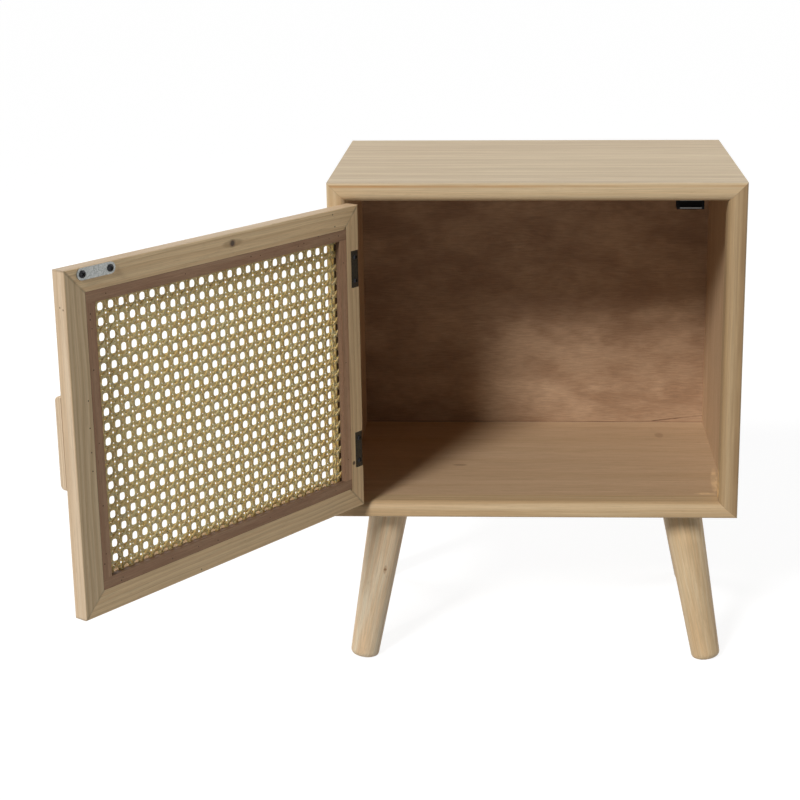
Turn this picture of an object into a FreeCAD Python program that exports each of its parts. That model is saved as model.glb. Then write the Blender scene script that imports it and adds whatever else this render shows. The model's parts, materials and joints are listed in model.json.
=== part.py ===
import FreeCAD, Part
import math
import os
import re

import Sketcher

# Storage side table: a mitred cabinet on four splayed legs, with one cane-panelled door hung on the left.
# Frame: origin on the floor under the middle of the case, +X to the right seen from the front,
# +Y towards the back and +Z up. Lengths in millimetres, angles in degrees.

SIZES = {
    # Case
    "case_width": 400,
    "case_depth": 280,
    "case_height": 336,
    "top_thickness": 18,
    "side_thickness": 9.5,
    "floor_thickness": 15.5,
    "lipping_width": 18,
    "lipping_depth": 24,
    "lipping_round": 8,
    "lipping_outer_round": 2,
    "back_thickness": 5,
    "back_rebate": 8,
    "side_rebate": 4.5,
    "back_clearance": 0.2,
    "back_brad_radius": 0.9,
    "back_brad_length": 18,
    # Legs
    "leg_height": 161,
    "leg_inset_x": 52,
    "leg_inset_y": 58,
    "leg_splay": 14,
    "leg_top_radius": 19.7,
    "leg_foot_radius": 14.4,
    "leg_top_round": 1.5,
    "foot_round": 6.5,
    "foot_overrun": 1.5,
    "leg_seat_gap": 0.5,
    "leg_plate_size": 54,
    "leg_plate_thickness": 2.5,
    "leg_plate_round": 6,
    "leg_boss_radius": 14,
    "hanger_bolt_radius": 4,
    "hanger_bolt_depth": 30,
    "hanger_bolt_end_gap": 0.3,
    "plate_screw_inset": 7,
    "plate_screw_radius": 1.75,
    "plate_screw_head_radius": 3.6,
    "plate_screw_length": 14,
    # Door
    "door_angle": 125.2,
    "door_gap": 1,
    "door_recess": 2,
    "door_thickness": 14,
    "frame_face": 21,
    "hinge_face": 17.5,
    "bead_width": 10,
    "hinge_ledge": 2.5,
    "bead_thickness": 5,
    "bead_clearance": 0.2,
    "bead_brad_radius": 0.5,
    "bead_brad_length": 12,
    "hinge_edge_round": 8,
    "edge_break": 1,
    "corner_brad_radius": 0.7,
    "corner_brad_length": 28,
    "corner_brad_inset": 33,
    "corner_brad_tilt": 45,
    "cane_thickness": 1.6,
    "cane_tuck": 4,
    "cane_columns": 20,
    "cane_rows": 14,
    "cane_hole_radius": 4.9,
    # Pull
    "pull_width": 28,
    "pull_height": 81,
    "pull_rise": 3,
    "pull_depth": 7.5,
    "pull_corner_round": 4.5,
    "pull_edge_round": 1,
    "pull_brad_inset": 17.3,
    "pull_brad_radius": 0.6,
    "pull_brad_length": 18,
    # Hinges
    "pivot_setback": 1,
    "upper_hinge_inset": 61.2,
    "lower_hinge_inset": 59,
    "hinge_height": 36,
    "leaf_thickness": 1.2,
    "leaf_bend_round": 2.2,
    "leaf_corner_round": 2.5,
    "door_leaf_flange": 11.5,
    "case_leaf_depth": 22,
    "knuckle_radius": 2.6,
    "knuckle_clearance": 0.3,
    "pin_radius": 1.25,
    "pin_running_clearance": 0.05,
    "pin_head_radius": 2,
    "pin_head_height": 0.8,
    "hinge_screw_spacing": 23,
    "hinge_screw_radius": 1.3,
    "hinge_screw_head_radius": 2.6,
    "hinge_screw_length": 11,
    "hinge_screw_head_height": 1.3,
    # Magnetic catch and its strike plate
    "catch_inset": 34.5,
    "catch_width": 26,
    "catch_height": 11,
    "catch_depth": 15,
    "catch_tab_depth": 12,
    "catch_tab_thickness": 4,
    "catch_gap": 0.4,
    "pole_width": 21,
    "pole_thickness": 1.2,
    "pole_reach": 2,
    "magnet_height": 6.4,
    "magnet_depth": 11,
    "catch_screw_spacing": 16,
    "catch_screw_radius": 1.5,
    "catch_screw_head_radius": 2.8,
    "catch_screw_length": 13,
    "strike_length": 41,
    "strike_height": 10,
    "strike_thickness": 1.2,
    "strike_drop": 5.5,
    "strike_screw_spacing": 30,
    "strike_screw_radius": 1.5,
    "strike_screw_head_radius": 3.25,
    "strike_screw_length": 12,
    "strike_screw_head_height": 1.6,
    # Every cutting tool runs past the wood by this much
    "overrun": 3,
}

# Sizes and places that follow from the driving sizes.
DERIVED = {
    "front": "-case_depth / 2",
    "rear": "case_depth / 2",
    "table_top": "leg_height + case_height",
    "floor_level": "leg_height + floor_thickness",
    "ceiling_level": "table_top - top_thickness",
    "opening_width": "case_width - 2 * lipping_width",
    "inner_width": "case_width - 2 * side_thickness",
    "opening_height": "case_height - top_thickness - floor_thickness",
    "panel_depth": "case_depth - lipping_depth",
    "panel_front": "front + lipping_depth",
    "back_width": "inner_width + 2 * side_rebate - 2 * back_clearance",
    "back_height": "opening_height + 2 * back_rebate - 2 * back_clearance",
    "leg_drop": "(leg_top_radius * sin(leg_splay) + leg_plate_thickness + leg_seat_gap) / cos(leg_splay)",
    "leg_reach": "leg_height / cos(leg_splay) + foot_overrun",
    "bolt_top": "(hanger_bolt_radius * sin(leg_splay) + hanger_bolt_end_gap) / cos(leg_splay)",
    "door_width": "opening_width - 2 * door_gap",
    "door_height": "opening_height - 2 * door_gap",
    "door_bottom": "floor_level + door_gap",
    "pivot_x": "(door_gap - opening_width) / 2",
    "pivot_y": "front + pivot_setback",
    # Door places are measured from the hinge axis, in the closed position, up from the door's lower edge
    "hinge_edge": "door_gap / 2",
    "free_edge": "hinge_edge + door_width",
    "door_face": "door_recess - pivot_setback",
    "door_back": "door_face + door_thickness",
    "frame_width": "frame_face + bead_width",
    "hinge_stile_width": "hinge_face + bead_width + hinge_ledge",
    "rebate_depth": "bead_thickness + cane_thickness",
    "cane_back": "door_back - bead_thickness",
    "sight_edge": "hinge_edge + hinge_stile_width",
    "sight_width": "door_width - hinge_stile_width - frame_width",
    "sight_height": "door_height - 2 * frame_width",
    "upper_hinge_low": "door_height - upper_hinge_inset - hinge_height / 2",
    "lower_hinge_low": "lower_hinge_inset - hinge_height / 2",
    "strike_inset": "catch_inset - door_gap",
    "catch_x": "opening_width / 2 - catch_inset",
    "catch_front": "pivot_y + door_back + strike_thickness + catch_gap",
    "catch_mid": "ceiling_level - catch_height / 2",
    "stack_height": "magnet_height + 2 * pole_thickness",
    "pole_depth": "magnet_depth + pole_reach",
    "tab_front": "catch_front + pole_reach + catch_depth",
}

# Where repeated fasteners stand along the piece they hold, as shares of its length.
BACK_BRAD_ACROSS_SHARES = (-0.45, -0.15, 0.15, 0.45)
BACK_BRAD_UP_SHARES = (0.2, 0.5, 0.8)
BEAD_BRAD_ACROSS_SHARES = (0.04, 0.35, 0.66, 0.96)
BEAD_BRAD_UP_SHARES = (0.09, 0.5, 0.91)
PULL_BRAD_SHARES = (0.19, 0.39, 0.65, 0.94)
CORNER_BRAD_DEPTH_SHARES = (0.35, 0.645)

# The domed head of a screw: the height of its straight rim and the radius of its flat crown.
PAN_HEAD_RIM_SHARE = 0.45
PAN_HEAD_CROWN_SHARE = 0.6

# How far back the screws of a flat hinge leaf stand.
CASE_SCREW_SHARE = 0.7

# The three knuckles of a hinge share its height equally: the outer two are the door leaf's.
KNUCKLE_SHARE = 1 / 3

# The legs splay along the diagonals of the case.
DIAGONAL_SHARE = math.sqrt(0.5)

SAME_PLACE = 0.001
CANE_HOLE_SIDES = 8

X_AXIS = FreeCAD.Vector(1, 0, 0)
Y_AXIS = FreeCAD.Vector(0, 1, 0)
Z_AXIS = FreeCAD.Vector(0, 0, 1)
UNTURNED = FreeCAD.Rotation()
POINTING = {
    "-X": FreeCAD.Rotation(Y_AXIS, -90),
    "-Y": FreeCAD.Rotation(X_AXIS, 90),
    "+Z": UNTURNED,
}

doc = FreeCAD.newDocument("side_table")
sheet = doc.addObject("Spreadsheet::Sheet", "sizes")
nodes = {}


def fill_sheet():
    """One row per driving size: its name, and its value under an alias of that name."""
    for row, (alias, size) in enumerate(SIZES.items(), 1):
        sheet.set(f"A{row}", alias)
        sheet.set(f"B{row}", str(size))
        sheet.setAlias(f"B{row}", alias)
    doc.recompute()


def expand(text):
    """Turns size names into references to the sheet, and derived names into their own sums."""

    def reference(match):
        word = match.group(0)
        if word in SIZES:
            return f"sizes.{word}"
        if word in DERIVED:
            return f"({expand(DERIVED[word])})"
        return word

    return re.sub(r"[a-z_]+", reference, text)


def value(text):
    return float(sheet.evalExpression(expand(text)))


def bind(thing, sums):
    for name, text in sums.items():
        thing.setExpression(name, expand(text))


def place(thing, x="0", y="0", z="0", rotation=UNTURNED):
    thing.Placement = FreeCAD.Placement(FreeCAD.Vector(), rotation)
    bind(thing, {"Placement.Base.x": x, "Placement.Base.y": y, "Placement.Base.z": z})
    return thing


def hang(thing):
    """Moves a piece from the closed door's own frame to the open door."""
    place(thing, "pivot_x", "pivot_y", "door_bottom", FreeCAD.Rotation(Z_AXIS, -1))
    bind(thing, {"Placement.Rotation.Angle": "-door_angle"})
    return thing


def node(label, thing):
    thing.Label = label
    nodes[label] = thing
    return thing


def door_node(label, thing):
    return node(label, hang(thing))


# Shapes that the pieces are made from


def box(name, low, size):
    made = doc.addObject("Part::Box", name)
    bind(made, dict(zip(("Length", "Width", "Height"), size)))
    return place(made, *low)


def cylinder(name, radius, height, base=("0", "0", "0"), rotation=UNTURNED):
    made = doc.addObject("Part::Cylinder", name)
    bind(made, {"Radius": radius, "Height": height})
    return place(made, *base, rotation)


def compound(name, members):
    made = doc.addObject("Part::Compound", name)
    made.Links = members
    return made


def fuse(name, members):
    made = doc.addObject("Part::MultiFuse", name)
    made.Shapes = members
    made.Refine = True
    return made


def cut(name, base, tools):
    """Takes the tools away one after another."""
    for number, tool in enumerate(tools, 1):
        made = doc.addObject("Part::Cut", f"{name}_cut_{number}")
        made.Base = base
        made.Tool = tool
        base = made
    return base


def outline(body, name, role, points):
    """A closed outline of straight lines, each corner tied to the sizes by its two coordinates."""
    sketch = body.newObject("Sketcher::SketchObject", name)
    plane = next(f for f in body.Origin.OriginFeatures if f.Role == role)
    sketch.AttachmentSupport = [(plane, "")]
    sketch.MapMode = "FlatFace"
    corners = [FreeCAD.Vector(value(x), value(y), 0) for x, y in points]
    count = len(corners)
    for i, corner in enumerate(corners):
        sketch.addGeometry(Part.LineSegment(corner, corners[(i + 1) % count]))
    for i in range(count):
        sketch.addConstraint(Sketcher.Constraint("Coincident", i, 2, (i + 1) % count, 1))
    for i, (corner, point) in enumerate(zip(corners, points)):
        for kind, start, text in (("DistanceX", corner.x, point[0]), ("DistanceY", corner.y, point[1])):
            index = sketch.addConstraint(Sketcher.Constraint(kind, -1, 1, i, 1, start))
            sketch.setExpression(f"Constraints[{index}]", expand(text))
    return sketch


def new_body(name):
    return doc.addObject("PartDesign::Body", name)


def pad(body, name, sketch, length, backwards=False):
    made = body.newObject("PartDesign::Pad", name)
    made.Profile = sketch
    made.Reversed = backwards
    bind(made, {"Length": length})
    doc.recompute()
    return made


def turn_profile(body, name, profile):
    """Spins an outline on the XZ plane about the Z axis."""
    spin = body.newObject("PartDesign::Revolution", name + "_turning")
    spin.Profile = profile
    spin.ReferenceAxis = (profile, ["V_Axis"])
    doc.recompute()


def cut_through(body, name, sketch):
    """Pockets an outline on the YZ plane along the whole length of a board that starts there."""
    before = body.Shape.Volume
    made = body.newObject("PartDesign::Pocket", name)
    made.Profile = sketch
    made.Type = "ThroughAll"
    made.Reversed = True
    doc.recompute()
    if body.Shape.Volume >= before:
        raise RuntimeError(f"{name} cuts nothing")
    return made


def round_edges(body, name, radius, *lines):
    """Rounds the straight edges of a body that lie where a line says, such as {"y": "0", "z": "0"}."""
    wanted = [{axis: value(text) for axis, text in line.items()} for line in lines]

    def lies_on(edge, line):
        ends = [vertex.Point for vertex in edge.Vertexes]
        return all(abs(getattr(end, axis) - at) < SAME_PLACE for end in ends for axis, at in line.items())

    base = body.Tip
    edges = enumerate(base.Shape.Edges, 1)
    found = [f"Edge{i}" for i, edge in edges if any(lies_on(edge, line) for line in wanted)]
    made = body.newObject("PartDesign::Fillet", name)
    made.Base = (base, found)
    bind(made, {"Radius": radius})
    doc.recompute()
    return made


def mitred_board(name, length, width, depth, mitre_start, mitre_end):
    """A board along X from its outer face at Z zero to its inner face, shortened there by its mitres."""
    body = new_body(name + "_board")
    corners = [("0", "0"), (length, "0"), (f"{length} - ({mitre_end})", width), (mitre_start, width)]
    face = outline(body, name + "_face", "XZ_Plane", corners)
    pad(body, name + "_pad", face, depth, backwards=True)
    return body


def rebate(body, name, depth, width, rebate_depth, rebate_width):
    """A step along the inner back edge of a board, for a panel to sit in."""
    low_y = f"{depth} - ({rebate_depth})"
    low_z = f"{width} - ({rebate_width})"
    high_y = f"{depth} + overrun"
    high_z = f"{width} + overrun"
    corners = [(low_y, low_z), (high_y, low_z), (high_y, high_z), (low_y, high_z)]
    return cut_through(body, name + "_rebate", outline(body, name + "_step", "YZ_Plane", corners))


def frame_of_boards(x_low, y_low, z_low, width, height, depth, thicknesses):
    """Four boards mitred into an upright rectangle, each turned so that its inner face looks inwards."""
    bottom, right, top, left = thicknesses
    sides = {
        "bottom": (width, bottom, left, right, 0, (x_low, z_low)),
        "right": (height, right, bottom, top, -90, (f"{x_low} + {width}", z_low)),
        "top": (width, top, right, left, 180, (f"{x_low} + {width}", f"{z_low} + {height}")),
        "left": (height, left, top, bottom, 90, (x_low, f"{z_low} + {height}")),
    }
    for side, (length, board_width, start, end, turn, (x, z)) in sides.items():

        def make(name, length=length, board_width=board_width, start=start, end=end, turn=turn, x=x, z=z):
            body = mitred_board(name, length, board_width, depth, start, end)
            place(body, x, y_low, z, FreeCAD.Rotation(Y_AXIS, turn))
            return body

        yield side, board_width, make


def countersunk_screw(name, radius, head_radius, length):
    """A screw along +Z, with its flat head at Z zero."""
    shank = cylinder(name + "_shank", radius, length)
    head = doc.addObject("Part::Cone", name + "_head")
    bind(head, {"Radius1": head_radius, "Radius2": radius, "Height": f"{head_radius} - {radius}"})
    return fuse(name, [shank, head])


def pan_head_screw(name, radius, head_radius, head_height, length):
    """A screw along +Z, with the underside of its domed head at Z zero."""
    body = new_body(name)
    rim = f"{head_height} * {PAN_HEAD_RIM_SHARE}"
    crown = f"{head_radius} * {PAN_HEAD_CROWN_SHARE}"
    corners = [
        ("0", length),
        ("0", f"-{head_height}"),
        (crown, f"-{head_height}"),
        (head_radius, f"-{rim}"),
        (head_radius, "0"),
        (radius, "0"),
        (radius, length),
    ]
    turn_profile(body, name, outline(body, name + "_profile", "XZ_Plane", corners))
    return body


def copies(name, master, spots, rotation):
    """One link to the master at each spot, gathered in a compound."""
    links = []
    for number, spot in enumerate(spots, 1):
        link = doc.addObject("App::Link", f"{name}_{number}")
        link.LinkedObject = master
        links.append(place(link, *spot, rotation))
    return compound(name, links)


# Cabinet


def make_back_brads():
    brad = cylinder("back_brad", "back_brad_radius", "back_brad_length")
    low = "floor_level - back_rebate / 2"
    high = "ceiling_level + back_rebate / 2"
    beside = "(inner_width + side_rebate) / 2"
    spots = [(f"back_width * {share}", "rear", z) for share in BACK_BRAD_ACROSS_SHARES for z in (low, high)]
    for share in BACK_BRAD_UP_SHARES:
        level = f"floor_level + opening_height * {share}"
        spots += [(f"-{beside}", "rear", level), (beside, "rear", level)]
    return node("back_panel_brads", copies("back_panel_brads", brad, spots, POINTING["-Y"]))


def make_back_panel(brads):
    low = ("-back_width / 2", "rear - back_thickness", "floor_level - back_rebate + back_clearance")
    sheet_of_ply = box("back_ply", low, ("back_width", "back_thickness", "back_height"))
    node("back_panel", cut("back_panel", sheet_of_ply, [brads]))


def leg_corners():
    for depth_name, y_sign in (("front", -1), ("rear", 1)):
        for side_name, x_sign in (("left", -1), ("right", 1)):
            yield f"{depth_name}_{side_name}", x_sign, y_sign


def leg_point(x_sign, y_sign, distance):
    """A point on a leg's axis, at a distance down it from the underside of the case."""
    run = f"({distance}) * sin(leg_splay) * {DIAGONAL_SHARE}"
    x = f"{x_sign} * (case_width / 2 - leg_inset_x + {run})"
    y = f"{y_sign} * (case_depth / 2 - leg_inset_y + {run})"
    return x, y, f"leg_height - ({distance}) * cos(leg_splay)"


def along_leg(thing, x_sign, y_sign, distance):
    """Stands a piece on a leg's axis, with its own +Z pointing up the leg."""
    leaning = FreeCAD.Rotation(FreeCAD.Vector(y_sign, -x_sign, 0), 1)
    place(thing, *leg_point(x_sign, y_sign, distance), leaning)
    bind(thing, {"Placement.Rotation.Angle": "leg_splay"})
    return thing


def make_hanger_bolts():
    bolts = []
    for corner, x_sign, y_sign in leg_corners():
        reach = "leg_drop + hanger_bolt_depth"
        bolt = cylinder(f"{corner}_bolt", "hanger_bolt_radius", f"{reach} - bolt_top")
        bolts.append(along_leg(bolt, x_sign, y_sign, reach))
    return node("leg_hanger_bolts", compound("leg_hanger_bolts", bolts))


def make_plate_screws():
    sizes = ("plate_screw_radius", "plate_screw_head_radius", "plate_screw_length")
    screw = countersunk_screw("plate_screw", *sizes)
    reach = "(leg_plate_size / 2 - plate_screw_inset)"
    spots = []
    for _, x_sign, y_sign in leg_corners():
        x, y, _ = leg_point(x_sign, y_sign, "0")
        level = "leg_height - leg_plate_thickness"
        spots += [(f"{x} + {i} * {reach}", f"{y} + {j} * {reach}", level) for i in (-1, 1) for j in (-1, 1)]
    return node("leg_plate_screws", copies("leg_plate_screws", screw, spots, POINTING["+Z"]))


def make_legs(bolts, screws):
    block = ("2 * case_width", "2 * case_depth", "leg_height")
    below_floor = box("below_floor", ("-case_width", "-case_depth", "-leg_height"), block)
    above_legs = box("above_legs", ("-case_width", "-case_depth", "leg_height"), block)
    for corner, x_sign, y_sign in leg_corners():
        turned = new_body(f"{corner}_turned_leg")
        corners = [
            ("0", "-leg_drop"),
            ("0", "-leg_reach"),
            ("leg_foot_radius", "-leg_reach"),
            ("leg_top_radius", "-leg_drop"),
        ]
        turn_profile(turned, f"{corner}_leg", outline(turned, f"{corner}_leg_profile", "XZ_Plane", corners))
        round_edges(turned, f"{corner}_foot_round", "foot_round", {"z": "-leg_reach"})
        round_edges(turned, f"{corner}_leg_top_round", "leg_top_round", {"z": "-leg_drop"})
        along_leg(turned, x_sign, y_sign, "0")
        node(f"{corner}_leg", cut(f"{corner}_leg", turned, [below_floor, bolts]))

        plate = new_body(f"{corner}_flat_plate")
        half = "leg_plate_size / 2"
        corners = [(f"-{half}", f"-{half}"), (half, f"-{half}"), (half, half), (f"-{half}", half)]
        square = outline(plate, f"{corner}_plate_outline", "XY_Plane", corners)
        pad(plate, f"{corner}_plate_pad", square, "leg_plate_thickness")
        upright = [{"x": i, "y": j} for i in (half, f"-{half}") for j in (half, f"-{half}")]
        round_edges(plate, f"{corner}_plate_round", "leg_plate_round", *upright)
        x, y, _ = leg_point(x_sign, y_sign, "0")
        place(plate, x, y, "leg_height - leg_plate_thickness")
        boss = cylinder(f"{corner}_boss", "leg_boss_radius", "leg_drop + leg_boss_radius")
        along_leg(boss, x_sign, y_sign, "leg_drop")
        trimmed = cut(f"{corner}_trimmed_boss", boss, [above_legs])
        whole = fuse(f"{corner}_plate_and_boss", [plate, trimmed])
        node(f"{corner}_leg_plate", cut(f"{corner}_leg_plate", whole, [bolts, screws]))


def make_catch():
    sizes = ("catch_screw_radius", "catch_screw_head_radius", "catch_screw_length")
    screw = countersunk_screw("catch_screw", *sizes)
    level = "ceiling_level - catch_tab_thickness"
    row = "tab_front + catch_tab_depth / 2"
    spots = [(f"catch_x + {i} * catch_screw_spacing / 2", row, level) for i in (-1, 1)]
    screws = node("catch_screws", copies("catch_screws", screw, spots, POINTING["+Z"]))

    left = "catch_x - catch_width / 2"
    block_low = (left, "catch_front + pole_reach", "ceiling_level - catch_height")
    block = box("catch_block", block_low, ("catch_width", "catch_depth", "catch_height"))
    tab_size = ("catch_width", "catch_tab_depth", "catch_tab_thickness")
    tab = box("catch_tab", (left, "tab_front", level), tab_size)
    stack_left = "catch_x - pole_width / 2"
    stack_low = "catch_mid - stack_height / 2"
    pocket_low = (stack_left, "catch_front", stack_low)
    pocket = box("catch_pocket", pocket_low, ("pole_width", "pole_depth", "stack_height"))
    shell = fuse("catch_shell", [block, tab])
    node("catch_housing", cut("catch_housing", shell, [pocket, screws]))

    poles = []
    for name, rise in (("lower_pole", "0"), ("upper_pole", "magnet_height + pole_thickness")):
        low = (stack_left, "catch_front", f"{stack_low} + {rise}")
        poles.append(box(name, low, ("pole_width", "pole_depth", "pole_thickness")))
    node("catch_pole_plates", compound("catch_pole_plates", poles))
    magnet_low = (stack_left, "catch_front + pole_reach", f"{stack_low} + pole_thickness")
    node("catch_magnet", box("catch_magnet", magnet_low, ("pole_width", "magnet_depth", "magnet_height")))
    return screws


def make_case_leaves():
    """The hinge leaves let flat into the left lipping, their pins and screws, and the mortises for them."""
    sizes = ("hinge_screw_radius", "hinge_screw_head_radius", "hinge_screw_length")
    screw = countersunk_screw("hinge_screw", *sizes)
    inner_face = "-opening_width / 2"
    spots = []
    for low in ("upper_hinge_low", "lower_hinge_low"):
        for i in (-1, 1):
            level = f"door_bottom + {low} + (hinge_height + {i} * hinge_screw_spacing) / 2"
            spots.append((inner_face, f"pivot_y + case_leaf_depth * {CASE_SCREW_SHARE}", level))
    screws = node("case_hinge_screws", copies("case_hinge_screws", screw, spots, POINTING["-X"]))

    mortises = []
    for which, low in (("upper", "upper_hinge_low"), ("lower", "lower_hinge_low")):
        level = f"door_bottom + {low}"
        third = f"hinge_height * {KNUCKLE_SHARE}"
        plate_low = (f"{inner_face} - leaf_thickness", "pivot_y", level)
        plate = box(f"{which}_case_plate", plate_low, ("leaf_thickness", "case_leaf_depth", "hinge_height"))
        mid_low = ("pivot_x", "pivot_y", f"{level} + {third} + knuckle_clearance / 2")
        mid = cylinder(f"{which}_case_knuckle", "knuckle_radius", f"{third} - knuckle_clearance", mid_low)
        room = "knuckle_radius + knuckle_clearance"
        room_height = f"{third} + knuckle_clearance / 2 + overrun"
        rooms = [
            cylinder(f"{which}_room_below", room, room_height, ("pivot_x", "pivot_y", f"{level} - overrun")),
            cylinder(
                f"{which}_room_above",
                room,
                room_height,
                ("pivot_x", "pivot_y", f"{level} + 2 * {third} - knuckle_clearance / 2"),
            ),
        ]
        relieved = cut(f"{which}_relieved_plate", plate, rooms)
        leaf = fuse(f"{which}_case_leaf_blank", [relieved, mid])
        pin = make_pin(which, level)
        node(f"{which}_hinge_case_leaf", cut(f"{which}_hinge_case_leaf", leaf, [pin, screws]))

        mortise_low = (f"{inner_face} - leaf_thickness", "front - overrun", level)
        mortise_depth = "pivot_setback + case_leaf_depth + overrun"
        mortise_size = ("leaf_thickness + overrun", mortise_depth, "hinge_height")
        mortises.append(box(f"{which}_case_mortise", mortise_low, mortise_size))
    return screws, mortises


def make_pin(which, level):
    """A hinge pin with a small head at each end, just clear of the knuckles."""
    spare = "pin_running_clearance * 2"
    shank_low = ("pivot_x", "pivot_y", f"{level} - {spare}")
    shank = cylinder(f"{which}_pin_shank", "pin_radius", f"hinge_height + 2 * {spare}", shank_low)
    foot_low = ("pivot_x", "pivot_y", f"{level} - {spare} - pin_head_height")
    foot = cylinder(f"{which}_pin_foot", "pin_head_radius", "pin_head_height", foot_low)
    cap_low = ("pivot_x", "pivot_y", f"{level} + hinge_height + {spare}")
    cap = cylinder(f"{which}_pin_cap", "pin_head_radius", "pin_head_height", cap_low)
    return node(f"{which}_hinge_pin", fuse(f"{which}_hinge_pin", [shank, foot, cap]))


def make_panels(brads, plate_screws, catch_screws):
    """The four veneered boards behind the lippings, rebated for the back."""
    thicknesses = ("floor_thickness", "side_thickness", "top_thickness", "side_thickness")
    fixings = {
        "bottom": [brads, plate_screws],
        "right": [brads],
        "top": [brads, catch_screws],
        "left": [brads],
    }
    panel_names = {
        "bottom": "bottom_panel",
        "right": "right_side_panel",
        "top": "top_panel",
        "left": "left_side_panel",
    }
    rebates = {"bottom": "back_rebate", "right": "side_rebate", "top": "back_rebate", "left": "side_rebate"}
    low = ("-case_width / 2", "panel_front", "leg_height")
    outer = ("case_width", "case_height", "panel_depth")
    for side, width, make in frame_of_boards(*low, *outer, thicknesses):
        name = panel_names[side]
        board = make(name)
        rebate(board, name, "panel_depth", width, "back_thickness", rebates[side])
        node(name, cut(name, board, fixings[side]))


def make_lippings(hinge_screws, mortises):
    """The solid frame on the front of the case. Its sides are wider than the boards behind them."""
    thicknesses = ("floor_thickness", "lipping_width", "top_thickness", "lipping_width")
    low = ("-case_width / 2", "front", "leg_height")
    outer = ("case_width", "case_height", "lipping_depth")
    for side, width, make in frame_of_boards(*low, *outer, thicknesses):
        name = f"{side}_lipping"
        strip = make(name)
        round_edges(strip, name + "_inner_round", "lipping_round", {"y": "0", "z": width})
        round_edges(strip, name + "_outer_round", "lipping_outer_round", {"y": "0", "z": "0"})
        node(name, cut(name, strip, [hinge_screws, *mortises]) if side == "left" else strip)


# Door, in the closed position about its own hinge axis


def make_bead_brads():
    brad = cylinder("bead_brad", "bead_brad_radius", "bead_brad_length")
    inset = "frame_face + bead_width / 2"
    hinge_side = "hinge_edge + hinge_face + bead_width / 2"
    spots = []
    for share in BEAD_BRAD_ACROSS_SHARES:
        x = f"sight_edge + sight_width * {share}"
        spots += [(x, "door_back", inset), (x, "door_back", f"door_height - ({inset})")]
    for share in BEAD_BRAD_UP_SHARES:
        z = f"frame_width + sight_height * {share}"
        spots += [(hinge_side, "door_back", z), (f"free_edge - ({inset})", "door_back", z)]
    return copies("bead_brads", brad, spots, POINTING["-Y"])


def make_beads(brads):
    inner = "hinge_edge + hinge_face + bead_clearance"
    strip = "bead_width - bead_clearance"
    across = ("door_width - hinge_face - frame_face - 2 * bead_clearance", "bead_thickness", strip)
    upright = (strip, "bead_thickness", "sight_height")
    strips = {
        "bottom_bead": (inner, "frame_face + bead_clearance", across),
        "top_bead": (inner, "door_height - frame_width", across),
        "hinge_side_bead": (inner, "frame_width", upright),
        "free_side_bead": ("free_edge - frame_width", "frame_width", upright),
    }
    for name, (x, z, size) in strips.items():
        door_node(name, cut(name, box(name + "_strip", (x, "cane_back", z), size), [brads]))


def make_cane_panel():
    """The webbing as one holed sheet, tucked a little way under the beads all round."""
    columns = int(value("cane_columns"))
    rows = int(value("cane_rows"))
    left = value("sight_edge")
    low = value("frame_width")
    step_x = value("sight_width") / columns
    step_z = value("sight_height") / rows
    front = value("cane_back - cane_thickness")
    radius = value("cane_hole_radius")
    turn = 2 * math.pi / CANE_HOLE_SIDES

    def ring(x, z):
        """One eight-sided hole, with flats to the sides and above."""
        angles = [turn * (i + 1 / 2) for i in range(CANE_HOLE_SIDES + 1)]
        return Part.makePolygon(
            [FreeCAD.Vector(x + radius * math.cos(a), front, z + radius * math.sin(a)) for a in angles]
        )

    tuck = value("cane_tuck")
    x_ends = (left - tuck, left + value("sight_width") + tuck)
    z_ends = (low - tuck, low + value("sight_height") + tuck)
    turns = ((0, 0), (1, 0), (1, 1), (0, 1), (0, 0))
    border = Part.makePolygon([FreeCAD.Vector(x_ends[i], front, z_ends[j]) for i, j in turns])
    places = [(i + 1 / 2, j + 1 / 2) for i in range(columns) for j in range(rows)]
    holes = [ring(left + i * step_x, low + j * step_z) for i, j in places]
    net = Part.makeFace([border, *holes], "Part::FaceMakerBullseye")
    sheet_of_cane = doc.addObject("Part::Feature", "cane_panel")
    sheet_of_cane.Shape = net.extrude(FreeCAD.Vector(0, value("cane_thickness"), 0))
    door_node("cane_panel", sheet_of_cane)


def make_corner_brads():
    """Pairs of brads driven at a slant through the stiles' edges into the ends of the rails."""
    brads = []
    for edge_name, x, inwards in (("hinge", "hinge_edge", 1), ("free", "free_edge", -1)):
        ends = (("low", "corner_brad_inset", -1), ("high", "door_height - corner_brad_inset", 1))
        for end_name, z, up in ends:
            for number, share in enumerate(CORNER_BRAD_DEPTH_SHARES, 1):
                name = f"{edge_name}_{end_name}_brad_{number}"
                brad = cylinder(name, "corner_brad_radius", "corner_brad_length")
                sunk = f"{x} + {inwards} * corner_brad_radius * sin(corner_brad_tilt)"
                place(brad, sunk, f"door_face + door_thickness * {share}", z, FreeCAD.Rotation(Y_AXIS, 1))
                bind(brad, {"Placement.Rotation.Angle": f"{inwards} * (90 - {up} * corner_brad_tilt)"})
                brads.append(brad)
    return compound("door_corner_brads", brads)


def make_pull(pull_brads):
    """A block on the front of the free stile, flush with its edge."""
    block = new_body("pull_block")
    half = "pull_height / 2"
    corners = [("0", f"-{half}"), ("pull_depth", f"-{half}"), ("pull_depth", half), ("0", half)]
    side = outline(block, "pull_side", "YZ_Plane", corners)
    pad(block, "pull_pad", side, "pull_width")
    ends = [{"y": "0", "z": half}, {"y": "0", "z": f"-{half}"}]
    round_edges(block, "pull_corner_round", "pull_corner_round", *ends)
    sides = [{"x": "0", "y": "0"}, {"x": "pull_width", "y": "0"}]
    round_edges(block, "pull_edge_round", "pull_edge_round", *sides)
    place(block, "free_edge - pull_width", "door_face - pull_depth", "door_height / 2 + pull_rise")
    door_node("pull_handle", cut("pull_handle", block, [pull_brads]))


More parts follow.
